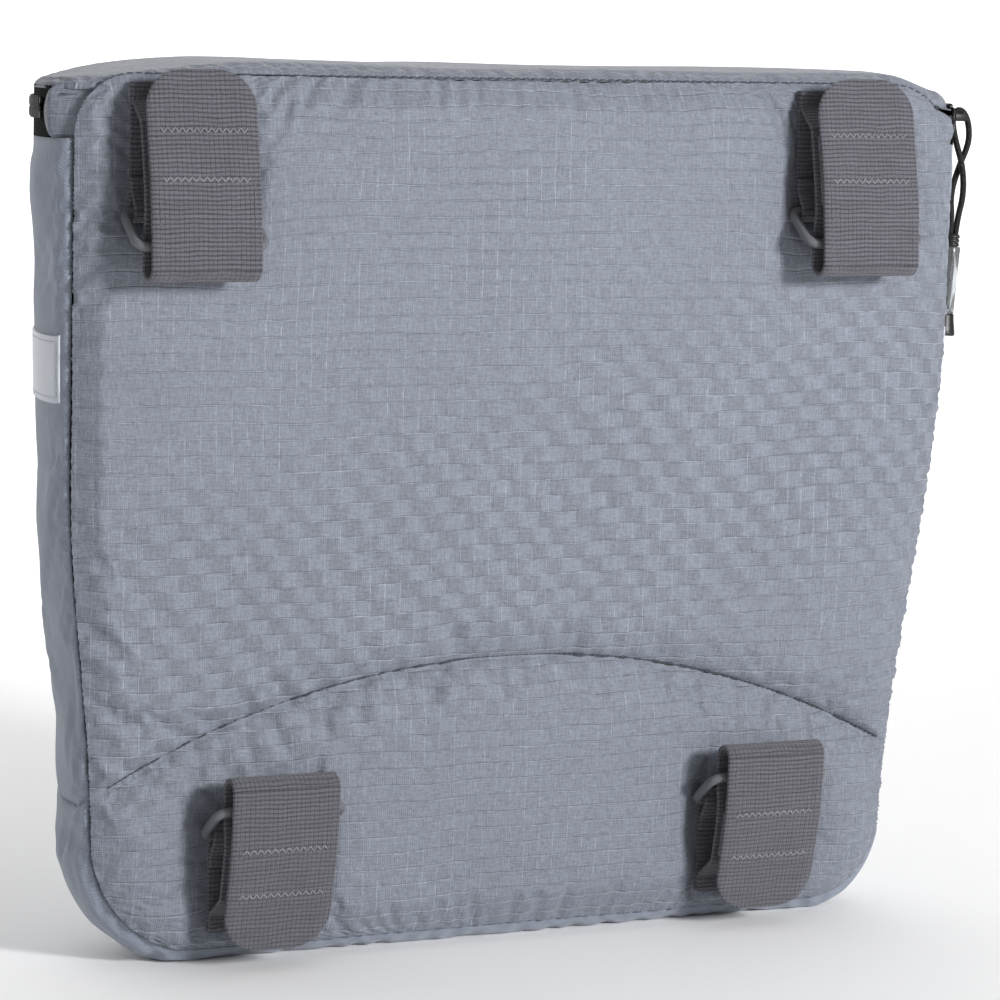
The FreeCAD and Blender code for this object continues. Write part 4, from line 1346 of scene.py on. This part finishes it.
def lid_fall(x, y):
    """How much lower the lid hangs at the left end and at the right end of the zip."""
    left = 5.0 * smooth((-x - 100) / 58)
    right = 5.5 * smooth((x - 145) / 28) * (1 - smooth((y - 18) / 16))
    return left + right + 1.0 * smooth((x - 145) / 15)


def lid_edge(x):
    """Height of the lid's rolled edge, thinner at the left end."""
    return LID_EDGE - 1.8 * smooth((-x - 112) / 50)


def lid_rim(x, y):
    """Height of the lid's lower edge over the zip."""
    return LID_TOP + 0.4 - lid_edge(x) - lid_fall(x, y)


def lid_form(shape):
    """Crowned sheet that rolls into the back seam and down to the zip."""
    back, front = EDGE_DEPTH, WRAP_FRONT + LID_REST
    y = back + (front - back - 0.02) * dense_ends(shape[0], 0.8)[:, None]
    s = 2 * dense_ends(shape[1], 0.5)[None, :] - 1
    halves = {side: mouth_half(side, y, LID_REST) for side in (-1, 1)}
    for side in (-1, 1):
        halves[side] = halves[side] - cut_corner(14.0, 14.0 - (y - back))
    x = np.where(s < 0, s * halves[-1], s * halves[1])
    rim = np.full(x.shape, 1e9)
    for side in (-1, 1):
        centre = MOUTH[side] - WRAP_RADIUS
        out = np.maximum(side * x - centre, 0)
        deep = np.maximum(y - WRAP_Y, 0)
        gap = np.where(out > 0, WRAP_RADIUS + LID_REST - np.hypot(out, deep), front - y)
        rim = np.minimum(rim, gap)
    ends = np.where(s < 0, halves[-1] - np.abs(x), halves[1] - np.abs(x))
    rim = np.maximum(np.minimum(rim, ends), 0)
    back_gap = y - back + 0 * x
    roll = 7.0
    crown_height = 0.9

    def drop(gap):
        return 1 - np.sqrt(np.maximum(1 - (1 - np.clip(gap / roll, 0, 1)) ** 2, 0))

    crown = crown_height * smooth(np.minimum(rim, back_gap) / 26)
    level = LID_TOP + 0.4 - lid_fall(x, y)
    seam = np.maximum(panel_top(x) - 0.5, lid_rim(x, y) - 2.5)
    z = level + crown
    z = z - np.maximum(np.maximum(level - seam, 0.5) * drop(back_gap), lid_edge(x) * drop(rim))
    z = z + 0.9 * smooth((-x - 40) / 90) * (1 - smooth((-x - 130) / 30))
    return np.stack([x, y + 0 * x, z], -1), np.minimum(rim, back_gap)


def lid():
    """Top of the bag, rolled into the back seam."""
    shape, coarse = (90, 260), (40, 120)
    points, gap = lid_form(coarse)
    held = np.clip(1 - gap / 2.5, 0, 1)
    drift = np.clip(inflate(points, held, (0, 0, 4), 0.02), -1.5, 0.4)
    points, gap = lid_form(shape)
    points = points + resample(drift, shape)
    points[..., 2] += 0.45 * soft_noise(shape, (3, 11), 41) * smooth(gap / 8)
    top = grid_object("lid_cover", points, points[..., :2])
    face_outward(top, (0, 0, 1), shape)
    thicken(top, 1.2)
    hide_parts("lid_panel")
    dress(top, "ripstop", None)
    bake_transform(top)


def zip_end(name, side, end, lobe):
    """Cloth that closes the corner between the back seam and one end of the zip."""
    shape = (40, 44)
    t = np.linspace(0, 1, shape[0])[:, None]
    s = np.linspace(0, 1, shape[1])[None, :]
    low, high = BODY_TOP - 0.6, float(lid_rim(side * MOUTH[side], 6.0)) + 1.4
    z = low + (high - low) * t + 0 * s
    edge = end - 5.5 + 5.0 * np.sin(np.pi * t)
    y = 0.9 + (edge - 0.9) * s
    across = np.sin(np.pi * np.clip(s * 0.85 + 0.05, 0, 1))
    swell = lobe * across * np.sin(np.pi * np.clip(0.12 + t * 0.8, 0, 1))
    sink = -seam_roll(y - 0.9, 5.0, 3.0)
    inner = panel_half(side, np.minimum(z, SEAM_HIGH), 0.0)
    outer = mouth_half(side, y) + 0.8
    fade = smooth((y - 0.9) / 7.0)
    hem = np.exp(-(t * (high - low) / 1.3) ** 2) + np.exp(-((1 - t) * (high - low) / 1.3) ** 2)
    x = inner * (1 - fade) + outer * fade + swell - 0.4 * sink - 0.9 * hem
    points = np.stack([side * x, y + 0 * x, z], -1)
    obj = grid_object(name + "_cover", points, points[..., 1:])
    face_outward(obj, (side, 0, 0), shape)
    thicken(obj, 0.9)
    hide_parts(name)
    dress(obj, "ripstop", None)
    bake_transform(obj)


def zip_tapes():
    """Woven tape each side of the zip."""
    ends = (node_box("right_zip_end")[1][1] - 3.0, node_box("left_zip_end")[1][1] - 3.0)
    line = mouth_line(ends[0], ends[1], 0.15, 500)
    for node, body in (("zip_upper_tape", "lid"), ("zip_lower_tape", "bag")):
        low, high = node_box(node)[0][2], node_box(node)[1][2]
        if body == "lid":
            inner, outer = low - 1.2 + 0 * line[:, 0], lid_rim(line[:, 0], line[:, 1]) + 0.8
        else:
            inner, outer = high + 1.2 + 0 * line[:, 0], low + 0 * line[:, 0]
        share = np.linspace(0, 1, 12)
        z = outer[:, None] * (1 - share) + inner[:, None] * share
        points = np.stack([line[:, :1] + 0 * z, line[:, 1:] + 0 * z, z], -1)
        run = np.linspace(0, 420, len(line))
        uv = np.stack([run[:, None] + 0 * z, z], -1)
        obj = grid_object(node + "_cloth", points, uv)
        out = points[250, 6] - np.array([MOUTH_MIDDLE, 0, points[250, 6, 2]])
        face_outward(obj, out, points.shape[:2])
        thicken(obj, 0.7)
        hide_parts(node)
        dress(obj, "zip_tape", body)


def zip_coils():
    """Coil turns that mesh along the middle of the zip."""
    pitch = 1.9
    wire_radius, wire_sides = 0.72, 8
    overlap = 0.75
    for node, body, phase in (("zip_upper_coil", "lid", 0.0), ("zip_lower_coil", "bag", 0.5)):
        low, high = node_box(node)
        line = mouth_line(low[1], node_box("left_zip_end")[1][1] + 1.6, 1.0, 2400)
        run = np.linspace(0, 1, len(line))
        length = np.linalg.norm(np.diff(line, axis=0), axis=1).sum()
        count = int(length / pitch)
        places = (np.arange(count) + phase) * pitch / length
        x, y = np.interp(places, run, line[:, 0]), np.interp(places, run, line[:, 1])
        slant = 0.25 * pitch / length
        x2 = np.interp(places + slant, run, line[:, 0])
        y2 = np.interp(places + slant, run, line[:, 1])
        inner, outer = (low[2] - overlap, high[2])
        if body == "bag":
            inner, outer = (high[2] + overlap, low[2])
        turns = [
            ((x[i], y[i], outer), (x2[i], y2[i], inner)) for i in range(count)
        ]
        obj = thread_mesh(node + "_turns", turns, wire_radius, wire_sides)
        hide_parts(node)
        dress(obj, "zip_coil", body)


def rounded_block(name, low, high, bevel):
    """Box between two corners with rounded edges."""
    low, high = np.array(low, float), np.array(high, float)
    corners = np.array([[x, y, z] for x in (0, 1) for y in (0, 1) for z in (0, 1)])
    faces = [(0, 1, 3, 2), (4, 6, 7, 5), (0, 4, 5, 1), (2, 3, 7, 6), (0, 2, 6, 4), (1, 5, 7, 3)]
    obj = mesh_object(name, low + corners * (high - low), faces)
    edge = obj.modifiers.new("round", "BEVEL")
    edge.width = bevel * MM
    edge.segments = 4
    edge.limit_method = "NONE"
    return obj


def zip_slider():
    """Moulded slider: rounded outer and inner plates, neck and the arched bridge."""
    low, high = node_box("zip_slider")
    outer = high[0] - 9.0
    middle = (low + high) / 2
    outer_plate = rounded_block(
        "zip_slider_plate", (outer + 0.1, low[1], low[2]), (outer + 2.2, high[1], high[2]), 0.9
    )
    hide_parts("zip_slider")
    inner_plate = rounded_block(
        "zip_slider_back", (low[0], low[1], low[2]), (low[0] + 1.5, high[1], high[2]), 0.6
    )
    neck = rounded_block(
        "zip_slider_neck", (low[0] + 1, low[1], middle[2] - 0.5),
        (outer + 1, low[1] + 2.4, middle[2] + 0.5), 0.2,
    )
    crown = rounded_block(
        "zip_slider_crown", (outer + 1.8, low[1] + 0.6, middle[2] - 2.6),
        (outer + 4.2, high[1] - 0.6, middle[2] + 2.6), 1.1,
    )
    legs = []
    for label, y in (("rear", low[1] + 1.4), ("front", high[1] - 3.4)):
        legs.append(rounded_block(
            f"zip_slider_{label}_leg", (outer + 3.4, y, middle[2] - 1.3),
            (high[0] + 0.2, y + 2.0, middle[2] + 1.5), 0.6,
        ))
    bar = rounded_block(
        "zip_slider_bar", (high[0] - 2.0, low[1] + 1.6, middle[2] - 1.0),
        (high[0], high[1] - 1.6, middle[2] + 1.0), 0.7,
    )
    for obj in (outer_plate, inner_plate, neck, crown, bar, *legs):
        dress(obj, "zip_metal", "slider")


# ---------------------------------------------------------------- puller


def lathe(name, profile, centre, axis, sides=40):
    """Round piece from (distance along the axis, radius) pairs."""
    axis = np.array(axis, float) / np.linalg.norm(axis)
    first = np.cross(axis, (0.0, 1.0, 0.0))
    first /= np.linalg.norm(first)
    second = np.cross(axis, first)
    angles = np.linspace(0, 2 * np.pi, sides, endpoint=False)
    points = []
    for place, radius in profile:
        for angle in angles:
            around = math.cos(angle) * first + math.sin(angle) * second
            points.append(np.array(centre) + axis * place + around * radius)
    faces = []
    for row in range(len(profile) - 1):
        for k in range(sides):
            a, b = row * sides + k, row * sides + (k + 1) % sides
            faces.append((a, b, b + sides, a + sides))
    if profile[0][1] > 0:
        faces.append(tuple(range(sides))[::-1])
    if profile[-1][1] > 0:
        faces.append(tuple((len(profile) - 1) * sides + k for k in range(sides)))
    return mesh_object(name, np.array(points), faces)


# Knots of the cord, from the bridge of the slider: X to the right, Y inward, Z up.
CORD_KNOTS = (
    (-2.05, 0.0, -69.5), (-0.55, 0.0, -50.0), (1.0, 0.1, -36.5), (2.9, -0.6, -27.5),
    (1.3, -1.75, -17.5), (-1.2, -0.9, -9.5), (-2.5, 0.0, -2.9), (-2.5, 0.0, 1.443),
    (0.0, 0.0, 2.887), (2.5, 0.0, 1.443), (4.4, 0.0, -2.9), (5.2, 0.9, -9.5),
    (1.9, 1.75, -17.5), (-2.0, 0.6, -27.5), (-1.35, -0.1, -36.5), (-2.95, 0.0, -50.0),
    (-4.4, 0.0, -69.5),
)
CORD_DIAMETER = 2.2


def bridge_middle():
    """Middle of the slider's bridge bar, which the cord loop hangs from."""
    low, high = node_box("zip_slider")
    return np.array([high[0] - 1.0, (low[1] + high[1]) / 2, (low[2] + high[2]) / 2])


def puller():
    """Cord loop through the slider, with its ribbed ferrule, clear tube and end cap."""
    bridge = bridge_middle()
    curve = bpy.data.curves.new("puller_cord_line", "CURVE")
    curve.dimensions = "3D"
    spline = curve.splines.new("NURBS")
    spline.points.add(len(CORD_KNOTS) - 1)
    for point, knot in zip(spline.points, CORD_KNOTS):
        place = (bridge + np.array(knot)) * MM
        point.co = (*map(float, place), 1.0)
    spline.order_u = 3
    spline.use_endpoint_u = True
    spline.resolution_u = 16
    curve.bevel_depth = CORD_DIAMETER / 2 * MM
    curve.bevel_resolution = 8
    cord = bpy.data.objects.new("puller_cord_line", curve)
    bpy.context.scene.collection.objects.link(cord)
    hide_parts("puller_cord")
    dress(cord, "cord", "puller")

    foot = bridge + np.array([-3.2, 0, -70.0])
    tilt = math.radians(4.4)
    axis = np.array([math.sin(tilt), 0, math.cos(tilt)])
    ferrule, tube, cap = puller_parts(foot, axis)


def puller_parts(foot, axis):
    """Ferrule, tube and cap along the leaning axis, measured from the foot of the tube."""
    rings = [(24.05, 2.2)]
    for k in range(3):
        base = 24.1 + 1.45 * k
        rings += [(base, 2.55), (base + 0.25, 2.9), (base + 0.95, 2.9), (base + 1.2, 2.55)]
    rings += [(28.4, 2.5), (28.5, 2.1)]
    ferrule = lathe("ribbed_ferrule", rings, foot, axis)
    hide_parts("puller_ferrule")
    dress(ferrule, "black_plastic", "puller")

    wall = [
        (0.05, 2.72), (0.05, 3.4), (0.3, 3.5), (6, 3.46), (14, 3.5), (23.6, 3.48), (23.95, 3.38),
        (23.95, 2.72), (12, 2.7), (0.05, 2.72),
    ]
    tube = lathe("clear_tube_sleeve", wall, foot, axis)
    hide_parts("puller_tube")
    dress(tube, "clear_tube", "puller")

    cone = [
        (0.0, 2.5), (0.0, 3.3), (-0.35, 3.6), (-1.4, 3.7), (-3.0, 3.9), (-5.6, 4.35), (-7.2, 4.62),
        (-7.7, 4.5), (-7.95, 4.1), (-8.0, 2.5),
    ]
    cap = lathe("flared_cap", cone, foot, axis)
    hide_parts("puller_end_cap")
    dress(cap, "black_plastic", "puller")
    return ferrule, tube, cap


# ---------------------------------------------------------------- rack straps
WEBBING = 1.6
RACK_SIDE = -3.0
JOINT = 1.2


def bend_line(corners, radii, step=0.8):
    """Line of points through corners, each rounded to its radius."""
    corners = [np.array(corner, float) for corner in corners]
    points = [corners[0]]
    for before, corner, after, radius in zip(corners, corners[1:], corners[2:], radii):
        into = (corner - before) / np.linalg.norm(corner - before)
        out = (after - corner) / np.linalg.norm(after - corner)
        turn = math.acos(float(np.clip(into @ out, -1, 1)))
        if turn < 1e-3 or radius == 0:
            points.append(corner)
            continue
        trim = radius * math.tan(turn / 2)
        first = corner - into * trim
        inward = (out - into) / np.linalg.norm(out - into)
        centre = corner + inward * radius / math.cos(turn / 2)
        spoke = first - centre
        sign = 1 if into[0] * out[1] - into[1] * out[0] > 0 else -1
        for share in np.linspace(0, 1, max(3, int(radius * turn / 0.5))):
            angle = sign * turn * share
            turned = (
                spoke[0] * math.cos(angle) - spoke[1] * math.sin(angle),
                spoke[0] * math.sin(angle) + spoke[1] * math.cos(angle),
            )
            points.append(centre + np.array(turned))
    points.append(corners[-1])
    points = np.array(points)
    steps = np.linalg.norm(np.diff(points, axis=0), axis=1)
    points = points[np.concatenate([[True], steps > 1e-4])]
    length = np.linalg.norm(np.diff(points, axis=0), axis=1).sum()
    return even_line(points, max(8, int(length / step)))


def tail_path(plan, along):
    """Distance of the tail from the panel at a height above the fold: slightly bowed."""
    length = plan["length"]
    t = np.clip(along / length, 0, 1)
    straight = plan["fold_out"] + (plan["tip_out"] - plan["fold_out"]) * t
    return straight + 1.5 * np.sin(np.pi * t) + 0.4 * np.sin(2 * np.pi * t)


def strap_lines(name):
    """Plan of a strap with its three centrelines as (out from the panel, along from the fold)."""
    plan = strap_plan(name)
    tail_low, tail_high = node_box(f"{name}_strap_tail")
    half = WEBBING / 2
    plan["fold_out"] = RACK_SIDE - tail_low[1] - half
    plan["tip_out"] = RACK_SIDE - tail_high[1] + half
    length = plan["length"]
    sewn = length - 4.5
    near = 16.4
    bend = 2.65
    plan["base_line"] = bend_line(
        [(half, sewn), (half, near - bend), (half + 2 * bend, near - bend),
         (half + 2 * bend, near + 1), (3 * half + 0.1, near + 7), (3 * half + 0.1, near + 11)],
        [bend, bend, 1.2, 3],
    )
    leave = sewn - 12.5
    inner = plan["fold_out"] - 8.0
    gap = 5.6
    patch_run = [
        (tail_path(plan, along) - gap, along) for along in np.linspace(leave, 17, 8)
    ]
    line = [(3 * half, sewn), (3 * half, sewn - 6)] + patch_run
    line += [(inner, 8), (inner, -4.3), (plan["fold_out"], -4.3), (plan["fold_out"], 0)]
    radii = [2.2, 3] + [0] * 6 + [20, 20, 3.98, 3.98]
    webbing = bend_line(line, radii)
    turned = np.where((webbing[:, 0] > inner + 5) & (webbing[:, 1] > -JOINT))[0][0]
    plan["webbing_line"] = np.concatenate(
        [webbing[:turned], [[plan["fold_out"], -JOINT]]]
    )
    along = np.concatenate([
        np.linspace(-JOINT, length - 13, 70),
        length - 13 * np.cos(np.linspace(0, np.pi / 2, 30))[1:],
    ])
    out = np.where(along < 0, plan["fold_out"], tail_path(plan, along))
    plan["tail_line"] = np.stack([out, along], 1)
    return plan


def strip(name, plan, line, width, thickness, side_offset=0.0, round_tip=False, waves=0.0,
          seed=1):
    """Strip of cloth along a centreline, with soft edges; UV runs across and along it."""
    line = np.asarray(line, float)
    tangent = np.gradient(line, axis=0)
    tangent /= np.linalg.norm(tangent, axis=1, keepdims=True)
    normal = np.stack([tangent[:, 1], -tangent[:, 0]], 1)
    steps = np.linalg.norm(np.diff(line, axis=0), axis=1)
    run = np.concatenate([[0], np.cumsum(steps)])
    half = np.full(len(line), width / 2)
    if round_tip:
        near = np.clip((13.0 - (run[-1] - run)) / 13.0, 0, 1)
        half = half - 12.5 * (1 - np.sqrt(np.maximum(1 - near ** 2, 0)))
    edge = thickness * 0.42
    lanes = 13
    flat = np.linspace(-1, 1, lanes)
    arc = np.linspace(np.pi / 2, -np.pi / 2, 7)[1:-1]
    points, uv = [], []
    wave = waves * soft_noise((len(line), lanes), (7, 3), seed)
    for row in range(len(line)):
        inner_half = half[row] - edge
        ring = [(inner_half * f, thickness / 2) for f in flat]
        ring += [(inner_half + edge * math.cos(a), thickness / 2 * math.sin(a)) for a in arc]
        ring += [(inner_half * f, -thickness / 2) for f in flat[::-1]]
        ring += [(-inner_half - edge * math.cos(a), -thickness / 2 * math.sin(a)) for a in arc]
        ring.append(ring[0])
        for across, lift in ring:
            lane = (across / (width / 2) + 1) / 2 * (lanes - 1)
            sway = np.interp(lane, np.arange(lanes), wave[row])
            place = line[row] + normal[row] * (lift + side_offset + sway)
            points.append((
                plan["x"] + across, RACK_SIDE - place[0], plan["fold"] + plan["up"] * place[1],
            ))
            uv.append((across, run[row]))
    count = len(ring)
    points, uv = np.array(points).reshape(len(line), count, 3), np.array(uv)
    faces = [tuple(f) for f in grid_faces(len(line), count)]
    last = (len(line) - 1) * count
    faces.append(tuple(range(count - 1)))
    faces.append(tuple(last + k for k in reversed(range(count - 1))))
    obj = mesh_object(name, points.reshape(-1, 3), faces, uv)
    fix_outward(obj)
    return obj


def fix_outward(obj):
    """Join double points and make all faces of a closed piece look outward."""
    shape = bmesh.new()
    shape.from_mesh(obj.data)
    bmesh.ops.remove_doubles(shape, verts=shape.verts, dist=0.001 * MM)
    bmesh.ops.recalc_face_normals(shape, faces=shape.faces)
    shape.to_mesh(obj.data)
    shape.free()


def on_tail(plan, across, along, lift=0.0):
    """Place on the outer face of a tail."""
    out = np.interp(along, plan["tail_line"][:, 1], plan["tail_line"][:, 0])
    return (
        plan["x"] + across, RACK_SIDE - out - WEBBING / 2 - lift,
        plan["fold"] + plan["up"] * along,
    )


def tail_stitches(name, plan):
    """Two zigzag rows across the tail and a straight row inside each edge."""
    length = plan["length"]
    rows = (length - 19.0, length - 34.5)
    body = f"{name}_tail"
    lines = []
    for row in rows:
        step, count = 1.25, 24
        for k in range(count):
            x = (k - count / 2) * step
            low, high = row - 0.8, row + 0.8
            first, second = (low, high) if k % 2 else (high, low)
            lines.append((on_tail(plan, x, first, 0.1), on_tail(plan, x + step, second, 0.1)))
    zigzag = thread_mesh(f"{name}_zigzag_stitching", lines, 0.22)
    dress(zigzag, "thread_strap", body)
    edges = []
    for side in (-1, 1):
        along = np.linspace(rows[1], 3, 60)
        path = [on_tail(plan, side * 16.2, a, 0.02) for a in along]
        edges += stitches_along(path, 3.0, 0.62)
    rows_obj = thread_mesh(f"{name}_edge_stitching", edges, 0.2)
    dress(rows_obj, "thread_dark", body)


def base_stitches(name, plan):
    """Box of stitching that sews the strap to the back panel."""
    length = plan["length"]
    high, low = length - 6.5, length - 13.0
    out = 2 * WEBBING + 0.02
    corners = [(-17, low), (-17, high), (17, high), (17, low), (-17, low)]
    path = [
        (plan["x"] + x, RACK_SIDE - out, plan["fold"] + plan["up"] * along) for x, along in corners
    ]
    box = thread_mesh(f"{name}_box_stitching", stitches_along(path, 3.0), 0.2)
    dress(box, "thread_dark", "bag")


def rack_strap(name, seed):
    """One rack strap: base, webbing with its fold, tail, the two patches and their stitches."""
    plan = strap_lines(name)
    body = f"{name}_tail"
    base = strip(f"{name}_strap_base_cloth", plan, plan["base_line"], 38, WEBBING)
    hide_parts(f"{name}_strap_base")
    dress(base, "webbing", "bag")
    webbing = strip(f"{name}_strap_webbing_cloth", plan, plan["webbing_line"], 38, WEBBING)
    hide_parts(f"{name}_strap_webbing")
    dress(webbing, "webbing", "bag")
    tail = strip(
        f"{name}_strap_tail_cloth", plan, plan["tail_line"], 38, WEBBING,
        round_tip=True, waves=0.15, seed=seed,
    )
    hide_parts(f"{name}_strap_tail")
    dress(tail, "webbing", None)
    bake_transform(tail)

    low, high = 19.0, plan["length"] - 19.0
    along = np.linspace(low + 0.3, high - 0.3, 24)
    hook_line = np.stack([tail_path(plan, along) - WEBBING / 2 - 0.85, along], 1)
    loop_line = np.stack([tail_path(plan, along) - 5.6 + WEBBING / 2 + 0.95, along], 1)
    hook = strip(f"{name}_hook_pile", plan, hook_line, 34.6, 1.6)
    loop = strip(f"{name}_loop_pile", plan, loop_line, 34.6, 1.8)
    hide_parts(f"{name}_strap_hook_patch")
    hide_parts(f"{name}_strap_loop_patch")
    dress(hook, "hook", body)
    dress(loop, "loop", "bag")
    tail_stitches(name, plan)
    base_stitches(name, plan)


# ---------------------------------------------------------------- the bag

camera()
puller()
back_panel()
gussets()
front_panel()
linings()
bindings()
lid()
zip_end("left_zip_end", -1, node_box("left_zip_end")[1][1], 0.6)
zip_end("right_zip_end", 1, node_box("right_zip_end")[1][1], 3.2)
zip_tapes()
zip_coils()
zip_slider()
for seed, strap in enumerate(STRAPS):
    rack_strap(strap, 60 + seed)
dress_cad_nodes()
studio()
